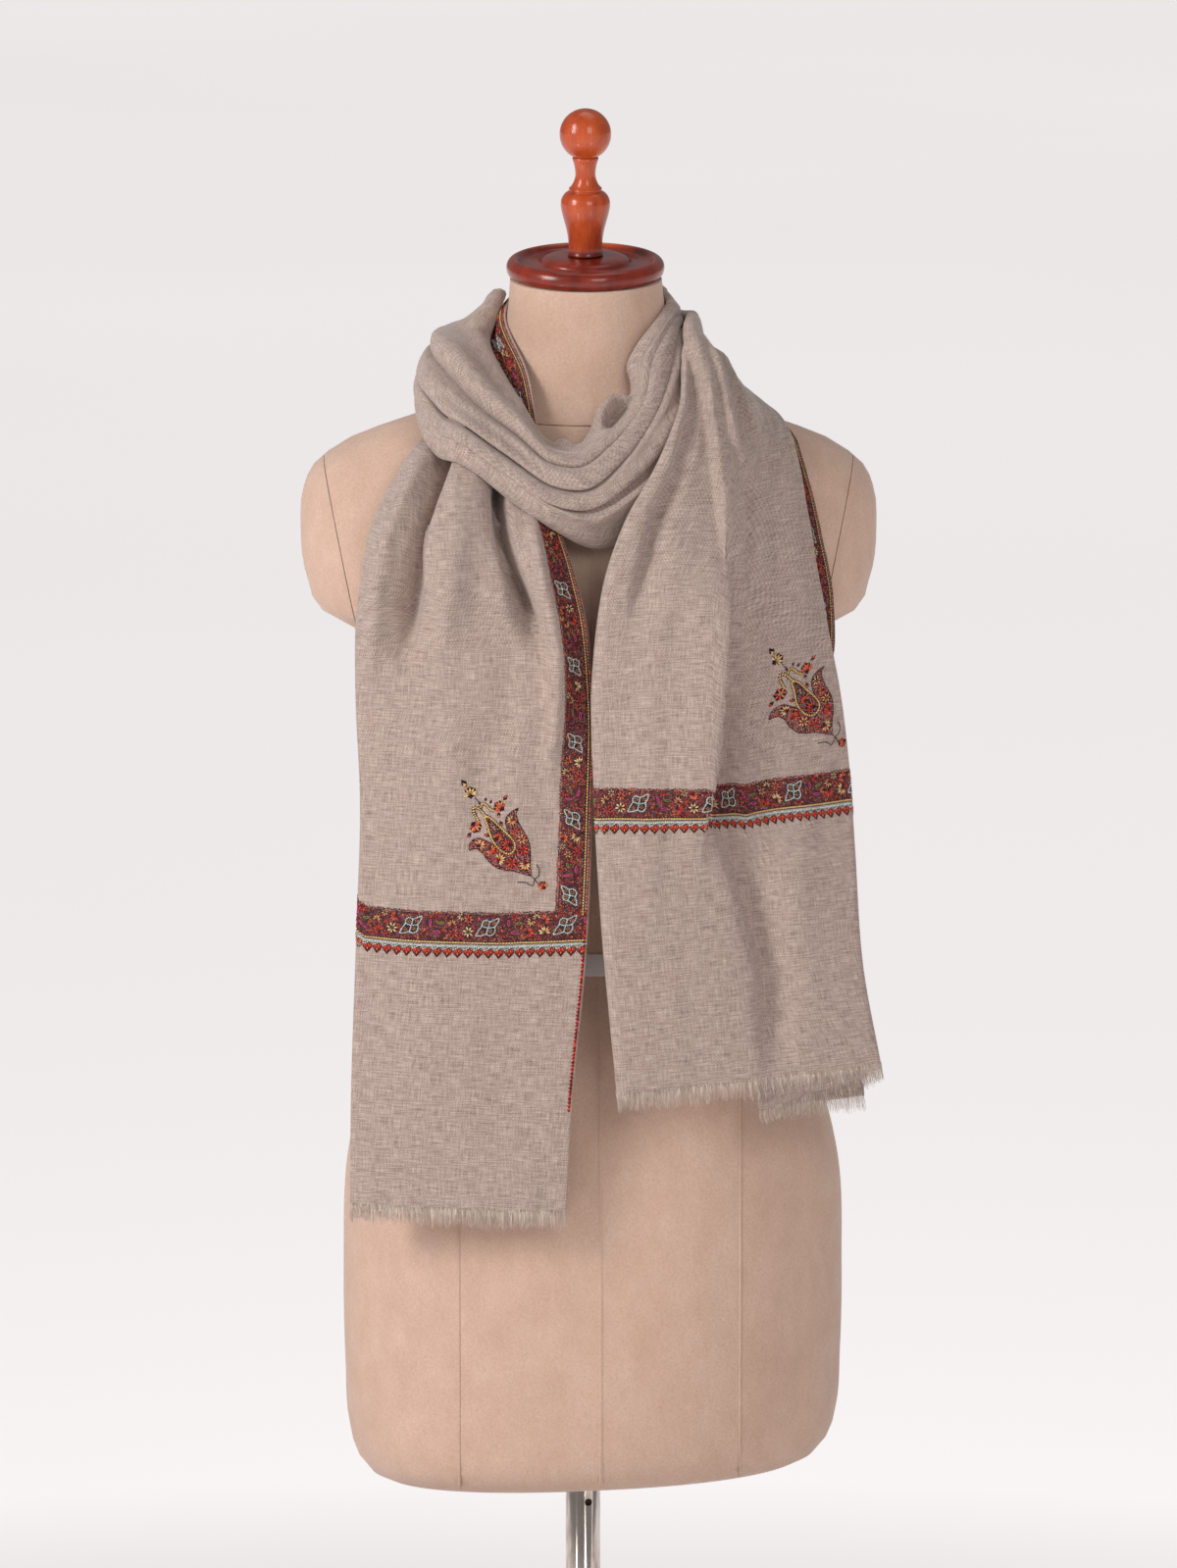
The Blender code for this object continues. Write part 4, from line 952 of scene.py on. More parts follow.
def pashmina():
    made, tree, shader = newMaterial(
        "taupe pashmina", colour(160, 140, 128), 0.92,
        Sheen_Weight=0.35, Sheen_Roughness=0.45, Specular_IOR_Level=0.15)
    place = weavePlace(tree)
    twill = bands(tree, stretched(tree, place, (1, 1, 1), math.radians(38)), "X", 190.0, 1.2, 2.0, 2.5)
    warp = fibres(tree, place, (1100, 90, 1), 2, 0.6)
    weft = fibres(tree, place, (80, 1100, 1), 2, 0.6)
    slubs = fibres(tree, place, (20, 900, 1), 2, 0.5)
    streaks = fibres(tree, place, (420, 12, 1), 3, 0.6)
    fleck = grain(tree, place, 1300, 2, 0.7)
    cloud = grain(tree, place, 22, 3, 0.6)
    light, dark = colour(219, 198, 186), colour(112, 92, 83)
    share = weighted(tree, (warp, 0.34), (weft, 0.42), (fleck, 0.36), (twill, 0.06))
    base = mixed(tree, between(tree, share, 0.42, 0.8), dark, light)
    base = over(tree, base, slubs, 0.6, 0.78, 0.3, dark)
    base = over(tree, base, slubs, 0.4, 0.22, 0.25, colour(216, 198, 184))
    base = over(tree, base, streaks, 0.56, 0.8, 0.16, colour(140, 118, 110))
    base = over(tree, base, cloud, 0.3, 0.7, 0.15, colour(180, 158, 150))
    tint(tree, shader, base)
    bump(tree, shader, share, 0.0003, 0.6)
    return made


def clothMeasures(grid):
    # Distances in the cloth itself: across from edge A, and along from each hem
    start = cloth["underSteps"] + cloth["turnSteps"]
    arcs, fromLeft = runOf(grid, axis=1), runOf(grid)
    return arcs - arcs[:, start:start + 1], fromLeft, fromLeft[-1:] - fromLeft


def shawlPieces(grid, middle, tailFirst, finish):
    arcs, fromLeft, fromRight = clothMeasures(grid)
    rows = np.arange(len(grid))[:, None] / len(grid)
    share = softStep((rows - cloth["weaveFrom"]) / cloth["weaveOver"])
    weave = fromLeft * (1 - share) + (fromLeft[-1].mean() - fromRight) * share
    places = np.stack([arcs, weave], axis=2)
    front, half = slice(0, middle + 1), cloth["half"]
    main = wallPiece("shawl_cloth", grid[:, front], half, places[:, front])
    finishPiece(main, finish, [
        "shawl_tail_left", "shawl_neck_wrap", "shawl_loop_front", "shawl_wrap_back"])
    under = wallPiece("shawl_tail_under_layer", grid[tailFirst:, middle:], half, places[tailFirst:, middle:])
    finishPiece(under, finish, ["shawl_tail_right"])
    return main, under


# Places on the cloth: a table of points and normals by distance from the hem and across from an edge

tableStep = 1.5


def surfaceTable(data, across, acrossSpan, alongTop):
    # Samples a layer of the cloth evenly, with rows up from the hem. Its last value is the distance along.
    acrossAt = np.arange(acrossSpan[0], acrossSpan[1] + tableStep, tableStep)
    alongAt = np.arange(0, alongTop + tableStep, tableStep)
    rows = np.array([[np.interp(acrossAt, u, values) for values in line.T] for u, line in zip(across, data)])
    columns = [[np.interp(alongAt, column[6], values) for values in column[:6]] for column in rows.T]
    return {"points": np.array(columns).transpose(2, 0, 1), "left": acrossSpan[0]}


def placesOn(table, across, along, lift):
    points = table["points"]
    x = np.clip((np.asarray(across, float) - table["left"]) / tableStep, 0, points.shape[1] - 1.001)
    y = np.clip(np.asarray(along, float) / tableStep, 0, points.shape[0] - 1.001)
    i, j = y.astype(int), x.astype(int)
    u, v = (x - j)[:, None], (y - i)[:, None]
    low = points[i, j] * (1 - u) + points[i, j + 1] * u
    high = points[i + 1, j] * (1 - u) + points[i + 1, j + 1] * u
    value = low * (1 - v) + high * v
    return value[:, :3] + unit(value[:, 3:]) * (cloth["half"] + np.asarray(lift, float))[:, None]


def clothTables(grid, middle, tailFirst):
    arcs, fromLeft, fromRight = clothMeasures(grid)
    up, front, behind = slice(len(grid) - 1, tailFirst, -1), slice(0, middle + 1), slice(None, middle - 1, -1)
    layers = {
        # layer: rows, columns, distance across, distance along, span across, top
        "left": (slice(0, len(grid) // 2), front, arcs, fromLeft, (-6, 300), 900),
        "right": (up, front, arcs, fromRight, (-30, 300), 640),
        "last": (up, behind, arcs[:, -1:] - arcs, fromRight, (-1, 60), 600),
    }
    tables = {}
    for name, (rows, columns, across, along, span, top) in layers.items():
        data = np.concatenate([grid, gridNormals(grid), along[:, :, None]], axis=2)
        tables[name] = surfaceTable(data[rows, columns], across[rows, columns], span, top)
    return tables


# Embroidery: every stitch is a low grain of thread, laid along the cloth

threads = {
    "plum": colour(44, 16, 24), "maroon": colour(122, 30, 30), "mauve": colour(146, 76, 84),
    "taupe": colour(176, 140, 122),
    "red": colour(216, 66, 48), "scarlet": colour(234, 96, 62), "orange": colour(240, 142, 88),
    "cream": colour(248, 206, 152),
    "yellow": colour(240, 186, 118), "ochre": colour(250, 198, 122), "blue": colour(202, 222, 220),
    "pink": colour(222, 88, 136),
    "olive": colour(160, 152, 84), "brown": colour(126, 58, 38),
}
# rim darkens the four base corners of every stitch: painted shade at its edges, so each stitch looks lit at
# its peak
thread = {"base": 0.12, "ground": 0.15, "groundHalf": 0.05, "overlap": 1.3, "shade": (0.92, 1.4), "rim": 0.88}
straight = ((0, 0), (1, 0))  # a border that doesn't sag


def addStitch(stitches, x, y, turn, tone, length, width, height):
    stitches.append((x, y, turn, length, width, height, tone))


def stitchLine(stitches, points, tone, width, length, height):
    # Stitches end to end along a smooth line
    points = np.array(points, float)
    at = runOf(points)
    count = max(1, round(at[-1] / (length * 0.82)))
    if len(points) > 2:
        line = smoothThrough(at, points, np.linspace(0, at[-1], count + 1))
    else:
        line = np.linspace(points[0], points[-1], count + 1)
    for a, b in zip(line[:-1], line[1:]):
        (x, y), step = (a + b) / 2, b - a
        long = np.linalg.norm(step) * thread["overlap"]
        addStitch(stitches, x, y, math.atan2(step[1], step[0]), tone, long, width, height)


def offBy(x, y, reach, turn):
    return x + reach * math.cos(turn), y + reach * math.sin(turn)


beside = {"red": "scarlet", "scarlet": "orange", "orange": "scarlet", "cream": "yellow", "yellow": "orange"}
# Parts of the flower's radius, or of the whole size of a leaf or bud
petals = {
    "ground": (0.62, 1.1, 0.85), "heart": (0.3, 0.26), "wide": 0.4,
    "fanBack": 0.35, "fan": (0.16, 1.42), "round": (0.2, 1.1),
}
leaves = {
    "ground": (1.5, 0.75), "stitch": 0.3, "lean": 0.45,
    "pairs": 5, "first": -0.36, "step": 0.18, "half": 0.13,
}
buds = {"ground": (1.5, 0.95), "leans": (-0.45, 0.0, 0.45), "stitch": (0.9, 0.27)}


def flower(stitches, x, y, radius, tone, pick):
    # Petals in a fan or right round a dark heart, over a dark ground a little wider than they are
    count = 7 if radius > 3 else 6
    start = pick.uniform(0, 6)
    fan = pick.random() < 0.6
    heart = offBy(x, y, -(radius * petals["fanBack"]), start) if fan else (x, y)
    near, far = petals["fan"] if fan else petals["round"]
    reach, long, wide = (radius * part for part in petals["ground"])
    for k in range(6):
        turn = start + math.pi / 3 * k
        addStitch(stitches, *offBy(x, y, reach, turn), turn + 1.57, "plum", long, wide, 0.16)
    for k in range(count):
        fromMiddle = k / (count - 1) - 0.5
        turn = start + (fromMiddle * 3.5 if fan else 2 * math.pi * k / count) + pick.uniform(-0.09, 0.09)
        end = radius * far * pick.uniform(0.86, 1.04) * (1 - 0.16 * abs(fromMiddle) * 2 if fan else 1)
        middle, long = (end + radius * near) / 2, end - radius * near
        shade = pick.choice((tone, tone, beside[tone]))
        wide = radius * petals["wide"]
        addStitch(stitches, *offBy(*heart, middle, turn), turn, shade, long * 1.12, wide, 0.62)
    long, wide = (radius * part for part in petals["heart"])
    addStitch(stitches, *heart, start, "maroon", long, wide, 0.6)


def leaf(stitches, x, y, size, turn, tone):
    # Pairs of short stitches along both sides of a dark ground
    c, s = math.cos(turn), math.sin(turn)
    long, wide = leaves["ground"]
    addStitch(stitches, x, y, turn, "plum", size * long, size * wide, 0.15)
    long = size * leaves["stitch"]
    for k in range(leaves["pairs"]):
        t = leaves["first"] + leaves["step"] * k
        for side in (-1, 1):
            px, py = t * size, side * (size * leaves["half"] * math.cos(t * 2.9))
            px, py = x + c * px - s * py, y + s * px + c * py
            addStitch(stitches, px, py, turn + side * leaves["lean"], tone, long, 1.0, 0.58)


def bud(stitches, x, y, size, turn, tone):
    long, wide = buds["ground"]
    addStitch(stitches, x, y, turn, "plum", size * long, size * wide, 0.14)
    long, wide = buds["stitch"]
    for lean in buds["leans"]:
        way = turn + lean
        px, py = x + math.cos(way) * size * 0.12, y + math.sin(way) * size * 0.3
        addStitch(stitches, px, py, way, tone, size * long, size * wide, 0.6)


medallionOutline = (
    (-8.7, 6.4), (-6.6, 2.2), (-4.3, -1.4), (-4.0, -4.3), (-1.5, -6.0), (1.7, -4.9), (4.4, -6.0),
    (8.6, -7.6),
    (7.3, -3.4), (5.6, -0.9), (6.1, 1.7), (4.4, 5.0), (1.9, 6.1), (-0.7, 4.8), (-4.0, 6.0), (-8.7, 6.4),
)
medallionLines = (((1.7, -4.9), (0.5, 0.0), (-0.7, 4.8)), ((-4.3, -1.4), (0.5, 0.0), (5.6, -0.9)))
medallionHearts = ((-1.4, -3.2), (4.6, -3.7), (-4.0, 3.5), (2.5, 2.5))


def inside(x, y, outline):
    hit = False
    for (ax, ay), (bx, by) in zip(outline, outline[1:] + outline[:1]):
        if (ay > y) != (by > y) and x < (bx - ax) * (y - ay) / (by - ay) + ax:
            hit = not hit
    return hit


def medallion(stitches, x, y, pick, scale):
    # A slanting diamond of four lobes in pale thread, dark inside, with a few petals in each lobe
    for px in np.arange(-8.5, 8.5, 1.3):
        for py in np.arange(-7.4, 7.0, 1.2):
            if inside(px, py, medallionOutline):
                addStitch(stitches, x + px * scale, y + py * scale, pick.uniform(0, 3), "plum", 2.2, 1.5, 0.2)
    for line in (medallionOutline, *medallionLines):
        stitchLine(stitches, [(x + a * scale, y + b * scale) for a, b in line], "blue", 1.5, 1.7, 0.8)
    for number, (a, b) in enumerate(medallionHearts):
        for petal in range(5):
            way = 2 * math.pi * petal / 5 + number
            tone = "orange" if petal % 2 else "yellow"
            addStitch(stitches, *offBy(x + a * scale, y + b * scale, 0.95, way), way, tone, 1.5, 0.7, 0.6)


sprigs = (
    # kind, along the border from a medallion, in from the inner edge, size, turn in degrees, thread
    ("bud", 10.7, 13.0, 3.6, 200, "scarlet"),
    ("bud", 12.8, 17.4, 3.4, 240, "red"),
    ("leaf", 14.2, 7.0, 5.4, 84, "pink"),
    ("flower", 18.4, 2.6, 2.9, 0, "red"),
    ("leaf", 21.6, 7.6, 5.4, -14, "olive"),
    ("leaf", 19.0, 14.3, 6.0, 6, "pink"),
    ("flower", 24.4, 11.6, 2.4, 0, "scarlet"),
    ("flower", 29.4, 7.0, 3.1, 0, "yellow"),
    ("flower", 30.6, 14.8, 3.9, 0, "red"),
    ("flower", 25.4, 17.7, 2.2, 0, "orange"),
    ("flower", 34.4, 2.5, 2.8, 0, "cream"),
    ("flower", 36.0, 9.2, 2.2, 0, "scarlet"),
    ("flower", 41.2, 4.6, 3.6, 0, "scarlet"),
    ("flower", 40.4, 13.4, 4.2, 0, "cream"),
    ("flower", 35.6, 18.2, 2.1, 0, "red"),
    ("bud", 47.4, 2.2, 3.2, 60, "orange"),
    ("bud", 45.6, 9.8, 2.8, 140, "red"),
    ("bud", 9.4, 4.6, 2.6, 300, "red"),
    ("bud", 5.8, 18.2, 2.6, 160, "orange"),
)
groundTones = ("plum", "maroon", "maroon", "maroon", "mauve", "mauve", "mauve", "taupe", "red", "scarlet",
    "orange")
border = {
    "repeat": 54.0, "charted": 20.4, "medallion": (0.95, 6.4), "clear": {"flower": 0.95},
    "pitch": 1.3, "near": 9, "whorl": 5, "ragPitch": 0.9, "ragTones": ("plum", "maroon", "plum", "red"),
    # lines outside it: distance, thread, width, height
    "lines": ((0.2, "plum", 0.8, 0.4), (1.1, "ochre", 1.7, 0.7), (2.1, "plum", 0.8, 0.4)),
}


def borderRun(stitches, start, end, medallionAt, width, pick):
    # One run of the border in its own sizes: x along it, y from the inner edge out
    repeat, scale, pitch = border["repeat"], width / border["charted"], border["pitch"]
    medallionSize, medallionClear = border["medallion"]
    spots = []
    for k in range(math.floor((start - medallionAt) / repeat), math.ceil((end - medallionAt) / repeat) + 1):
        origin = medallionAt + k * repeat
        if start - 3 < origin < end + 3:
            medallion(stitches, origin, width / 2, pick, medallionSize * scale)
            spots.append((origin, width / 2, medallionClear * scale))
        for kind, x, y, size, turn, tone in sprigs:
            x, y = origin + x + pick.uniform(-0.5, 0.5), y * scale + pick.uniform(-0.3, 0.3)
            if not start + 2 < x < end - 2:
                continue
            turn = math.radians(turn + pick.uniform(-14, 14))
            if kind == "flower":
                flower(stitches, x, y, size * scale, tone, pick)
            else:
                (leaf if kind == "leaf" else bud)(stitches, x, y, size * scale, turn, tone)
            spots.append((x, y, size * scale * border["clear"].get(kind, 0.5)))
    spots = np.array(spots)
    rows = int(width / pitch)
    for i in range(int((end - start) / pitch)):
        near = spots[np.abs(spots[:, 0] - start - i * pitch) < border["near"]]
        for j in range(rows):
            x = start + (i + 0.5 * (j % 2)) * pitch + pick.uniform(-0.3, 0.3)
            y = (j + 0.5) * width / rows + pick.uniform(-0.3, 0.3)
            if len(near) and (np.hypot(near[:, 0] - x, near[:, 1] - y) < near[:, 2]).any():
                continue
            turn = noise.noise(Vector((x / border["whorl"], y / border["whorl"], 1.3))) * 6
            tone = pick.choice(groundTones)
            long, wide, height = (pick.uniform(*span) for span in ((1.6, 2.6), (0.6, 0.9), (0.25, 0.5)))
            addStitch(stitches, x, y, turn, tone, long, wide, height)
    for k in range(int((end - start) / border["ragPitch"])):
        x, y, turn = start + k * border["ragPitch"], pick.uniform(-1.0, 0.2), pick.uniform(0.6, 2.5)
        addStitch(stitches, x, y, turn, pick.choice(border["ragTones"]), 2.0, 0.8, 0.35)
    for off, tone, wide, height in border["lines"]:
        stitchLine(stitches, [(start, width + off), (end, width + off)], tone, wide, 2.4, height)


hanging = {
    "pitch": 7.2, "below": 1.8, "budAt": 5.9,
    # pale lines: depth of a scallop, distance down, width
    "lines": ((0.0, 1.9, 1.38), (1.5, 3.0, 1.495)), "wave": (-0.5, -0.25, 0, 0.25, 0.5),
    # stitches of half a bud: out, down, lean, thread, length, width, height
    "half": ((2.0, -0.1, 0.5, "red", 4.2, 1.7, 0.6), (0.9, -0.9, 0.2, "scarlet", 4.0, 1.4, 0.7)),
    "outline": ((0.2, -3.0), (2.6, -2.4), (3.2, 0), (1.4, 2.6), (0, 3.8)),
}


def scallops(stitches, start, end):
    # Below a cross border: a pale scalloped line, then a row of hanging buds, each with its tip down
    pitch, y, down = hanging["pitch"], hanging["budAt"], math.pi / 2
    for k in range(int((end - start) / pitch) + 1):
        x = start + k * pitch
        for depth, foot, wide in hanging["lines"]:
            wave = [(x + pitch * t, foot - depth * math.sin(math.pi * t)) for t in hanging["wave"]]
            stitchLine(stitches, wave, "blue", wide, 1.9, 0.5)
        addStitch(stitches, x, y + 0.2, down, "maroon", 8.8, 7.0, 0.14)
        for side in (-1, 1):
            for out, low, lean, tone, long, wide, height in hanging["half"]:
                addStitch(stitches, x + side * out, y + low, down + side * lean, tone, long, wide, height)
            outline = [(x + side * a, y + b) for a, b in hanging["outline"]]
            stitchLine(stitches, outline, "plum", 0.6, 1.6, 0.5)
        addStitch(stitches, x, y + 1.5, down, "orange", 2.8, 1.2, 0.6)


whip = {"pitch": 1.1, "width": 1.0, "tones": ("brown", "brown", "maroon", "red"), "lean": 0.4}
looseWhip = {"pitch": 1.3, "width": 1.9, "tones": ("maroon", "maroon", "maroon", "red"), "lean": 0.4}


def whipped(stitches, start, end, low, high, look, pick):
    # Slanting stitches over a selvedge, x along it and y out to the edge
    for k in range(int((end - start) / look["pitch"])):
        x = start + k * look["pitch"] + pick.uniform(-0.15, 0.15)
        turn = math.pi / 2 + (look["lean"] if k % 2 else -look["lean"])
        tone = pick.choice(look["tones"])
        addStitch(stitches, x, (low + high) / 2, turn, tone, abs(high - low) * 1.2, look["width"], 0.7)


# The motif in its own sizes: x to the right and y down, from the tip of its small leaf
paisleyTeardrop = (
    (17.5, 25.2), (20.3, 31.5), (22.4, 37.8), (24.9, 42.7), (28.0, 46.2), (32.2, 49.4), (36.4, 50.1),
    (39.2, 47.3), (39.6, 43.4),
    (37.1, 39.2), (33.6, 35.7), (30.1, 32.6), (26.6, 29.4), (23.1, 26.3), (19.6, 24.6), (17.5, 25.2),
)
paisleyCup = (
    (7.6, 48.6), (7.5, 44.8), (10.5, 41.0), (14.7, 39.9), (19.6, 41.6), (23.8, 43.4), (28.0, 46.2),
    (32.2, 49.4), (36.4, 50.1), (39.2, 47.3),
    (39.6, 43.4), (36.6, 38.0), (33.0, 31.0), (32.6, 25.4), (35.0, 21.6), (38.6, 19.0), (41.2, 17.6),
    (39.6, 21.0), (40.7, 26.0), (43.6, 31.6),
    (47.6, 37.8), (49.2, 42.0), (50.6, 50.0), (50.7, 57.4), (51.2, 65.2), (44.8, 63.8), (39.2, 62.4),
    (32.6, 61.8), (28.2, 60.6),
    (23.2, 57.2), (19.9, 53.8), (16.8, 49.8), (12.0, 47.4),
)
paisleyLines = (
    ("ochre", 2.0, ((15.6, 21.6), (13.6, 19.8), (9.2, 18.4), (9.6, 22.4), (11.8, 26.0), (13.4, 28.8))),
    ("ochre", 2.0, ((14.2, 19.0), (15.2, 15.6), (18.0, 16.2), (20.6, 18.6), (24.6, 20.6))),
    ("ochre", 1.9, ((15.4, 21.4), (17.2, 23.4), (19.6, 24.6))),
    ("plum", 0.8, ((9.6, 11.2), (12.2, 14.6), (14.2, 17.6), (15.4, 21.4))),
    ("cream", 0.9, ((24.0, 30.6), (25.4, 34.0))),
    ("plum", 0.9, ((51.2, 65.2), (54.0, 67.6), (57.2, 71.6))),
    ("plum", 0.9, ((42.4, 70.2), (48.2, 70.2), (52.6, 72.6), (54.4, 68.0))),
    ("plum", 0.9, ((55.2, 57.4), (57.2, 61.6), (56.8, 65.4), (54.4, 67.6))),
)
paisleyFlowers = (
    (6.4, 8.0, 4.4, "cream"), (27.8, 17.0, 4.2, "scarlet"), (11.4, 32.2, 4.5, "scarlet"),
    (28.2, 38.2, 3.3, "scarlet"), (33.4, 44.0, 3.9, "red"),
    (36.2, 26.8, 3.4, "cream"), (39.4, 34.0, 2.8, "scarlet"), (44.2, 39.6, 3.6, "yellow"),
    (45.6, 47.4, 3.8, "red"), (47.2, 58.8, 3.9, "cream"),
    (38.0, 56.4, 3.8, "red"), (30.4, 53.8, 4.0, "cream"), (23.6, 48.2, 3.6, "scarlet"),
    (15.8, 43.8, 3.6, "cream"), (60.0, 72.2, 3.2, "scarlet"),
)
paisleyBuds = (
    (1.6, 1.6, 4.6, 50, "yellow"), (31.8, 10.8, 3.2, -50, "scarlet"), (27.6, 22.8, 3.0, 80, "orange"),
    (7.0, 38.0, 3.2, 130, "red"), (19.8, 37.6, 3.2, 190, "scarlet"),
    (29.4, 28.8, 3.0, 60, "scarlet"), (10.6, 23.6, 2.4, 240, "mauve"), (21.6, 14.0, 2.4, -60, "mauve"),
    (17.6, 12.6, 2.2, -80, "mauve"), (13.2, 15.4, 2.2, 240, "mauve"),
)
paisleyGrounds = (
    (paisleyCup, ("mauve", "maroon", "red", "plum", "maroon")),
    (paisleyTeardrop, ("maroon", "maroon", "plum", "plum")),
)


def paisleyStitches(pick):
    stitches = []
    for outline, tones in paisleyGrounds:
        xs, ys = zip(*outline)
        for x in np.arange(min(xs), max(xs), 1.15):
            for y in np.arange(min(ys), max(ys), 1.1):
                px, py = x + pick.uniform(-0.25, 0.25), y + pick.uniform(-0.25, 0.25)
                if inside(px, py, outline):
                    turn = noise.noise(Vector((px / 6, py / 6, 4.0))) * 5
                    addStitch(stitches, px, py, turn, pick.choice(tones), 2.2, 1.0, 0.3)
    stitchLine(stitches, paisleyCup + paisleyCup[:1], "plum", 0.95, 1.9, 0.6)
    for x, y, radius, tone in paisleyFlowers:
        flower(stitches, x, y, radius, tone, pick)
    stitchLine(stitches, paisleyTeardrop, "plum", 3.2, 2.0, 0.3)
    for tone, _, path in paisleyLines:
        if tone == "ochre":
            stitchLine(stitches, path, "plum", 3.3, 2.0, 0.3)
    stitchLine(stitches, paisleyTeardrop, "ochre", 2.0, 2.0, 0.8)
    for tone, width, path in paisleyLines:
        stitchLine(stitches, path, tone, width, 1.9, 0.75)
    for x, y, size, turn, tone in paisleyBuds:
        bud(stitches, x, y, size, math.radians(turn), tone)
    return stitches


def laid(stitches, origin, xWay, yWay, sag=straight):
    # Stitches moved from a motif's own sizes onto the cloth: (across, along)
    sagAt, sagBy = zip(*sag)
    made = []
    for x, y, turn, length, width, height, tone in stitches:
        across = origin[0] + x * xWay[0] + y * yWay[0]
        along = origin[1] + x * xWay[1] + y * yWay[1] + np.interp(across, sagAt, sagBy)
        c, s = math.cos(turn), math.sin(turn)
        way = math.atan2(c * xWay[1] + s * yWay[1], c * xWay[0] + s * yWay[0])
        made.append((across, along, way, length, width, height, tone))
    return made


def stitchPiece(name, table, stitches, finish, pick):
    # Each stitch has four corners on the cloth and a peak
    x, y, turn, length, width, height = np.array([s[:6] for s in stitches], float).T
    dx, dy = np.cos(turn), np.sin(turn)
    points = []
    for a, b, peak in ((0.5, 0, 0), (0, 0.5, 0), (-0.5, 0, 0), (0, -0.5, 0), (0, 0, 1)):
        across, along = x + dx * a * length - dy * b * width, y + dy * a * length + dx * b * width
        points.append(placesOn(table, across, along, thread["base"] + peak * height))
    points = np.stack(points, axis=1)
    first = (np.arange(len(x)) * 5)[:, None]
    around = np.cross(points[:, 1] - points[:, 0], points[:, 2] - points[:, 0])
    up = points[:, 4] - points[:, :4].mean(axis=1)
    turned = (around * up).sum(axis=1) < 0
    outward = np.array([(0, 1, 4), (1, 2, 4), (2, 3, 4), (3, 0, 4), (0, 2, 1), (0, 3, 2)])
    faces = np.where(turned[:, None, None], outward[None, :, ::-1], outward[None]) + first[:, :, None]
    obj = meshPiece(name, points.reshape(-1, 3), faces.reshape(-1, 3))
    tones = np.array([threads[s[6]][:3] for s in stitches])
    shade = np.array([pick.uniform(*thread["shade"]) for _ in stitches])[:, None]
    values = np.ones((len(stitches), 5, 4))
    values[:, :, :3] = np.clip(tones * shade, 0, 1)[:, None, :]
    # Painted shade: the base corners take the rim share and are darker than the peak
    values[:, :4, :3] *= thread["rim"]
    layer = obj.data.color_attributes.new("threadColour", "FLOAT_COLOR", "POINT")
    layer.data.foreach_set("color", values.ravel())
    return finishPiece(obj, finish)


def embroideryThread():
    made, tree, shader = newMaterial(
        "embroidery thread", colour(150, 60, 50), 0.6,
        Sheen_Weight=0.06, Sheen_Roughness=0.4, Specular_IOR_Level=0.18)
    tone = node(tree, "ShaderNodeVertexColor", {}, layer_name="threadColour").outputs["Color"]
    strands = grain(tree, objectPlace(tree), 2600, 2, 0.6)
    shadowed = mixed(tree, 1.0, tone, (0.35, 0.33, 0.33, 1), "MULTIPLY")
    tint(tree, shader, over(tree, tone, strands, 0.35, 0.7, 0.3, shadowed))
    return made


def filledGround():
    # The dense ground below the stitches
    made, tree, shader = newMaterial("embroidered ground", colour(76, 34, 42), 0.8)
    place = weavePlace(tree)
    inputs = {"Vector": place, "Scale": 620.0, "Detail": 2.0, "Distortion": 1.6}
    curls = node(tree, "ShaderNodeTexNoise", inputs).outputs["Fac"]
    base = mixed(tree, between(tree, curls, 0.4, 0.6), colour(36, 14, 20), colour(84, 34, 40))
    tint(tree, shader, over(tree, base, grain(tree, place, 260), 0.5, 0.7, 0.5, colour(128, 92, 90)))
    bump(tree, shader, curls, 0.0004, 0.7)
    return made


def groundStrip(name, table, acrossSpan, alongSpan, finish, sag=straight):
    across = np.linspace(*acrossSpan, max(3, int((acrossSpan[1] - acrossSpan[0]) / 1.5)))
    along = np.linspace(*alongSpan, max(3, int((alongSpan[1] - alongSpan[0]) / 2.0)))
    u, v = np.meshgrid(across, along)
    v = v + np.interp(u, *zip(*sag))
    points = placesOn(table, u.ravel(), v.ravel(), np.full(u.size, thread["ground"])).reshape(*u.shape, 3)
    above = placesOn(table, u[1:2, 1], v[1:2, 1], [1.0])[0]
    if np.dot(gridNormals(points)[1, 1], above - points[1, 1]) < 0:
        points, u, v = points[:, ::-1], u[:, ::-1], v[:, ::-1]
    obj = wallPiece(name, points, thread["groundHalf"], np.stack([u, v], axis=2))
    return finishPiece(obj, finish)


def edgeRun(start, end, medallionAt, inner, width, ticksFrom, pick):
    # A border up an edge, whipped at the selvedge, with scattered stitches on the edge below it
    run, whips = [], []
    borderRun(run, start, end, medallionAt, width, pick)
    whipped(whips, start - 3, end, inner - width - 2.4, inner - width - 5.4, whip, pick)
    whipped(whips, ticksFrom, start - 3, 2.4, -1.2, looseWhip, pick)
    return laid(run, (inner, 0), (0, 1), (-1, 0)) + laid(whips, (0, 0), (0, 1), (1, 0))


def endRun(parts, top, width, across, sag, pick):
    # A border across an end, with its scalloped line and buds below it
    stitches, below = [], []
    for start, end, medallionAt in parts:
        borderRun(stitches, start, end, medallionAt, width, pick)
    scallops(below, parts[0][0] + 4, parts[-1][1])
    stitches += [(x, y + width + hanging["below"], *rest) for x, y, *rest in below]
    return laid(stitches, (across[0], top), (across[1], 0), (0, -1), sag)


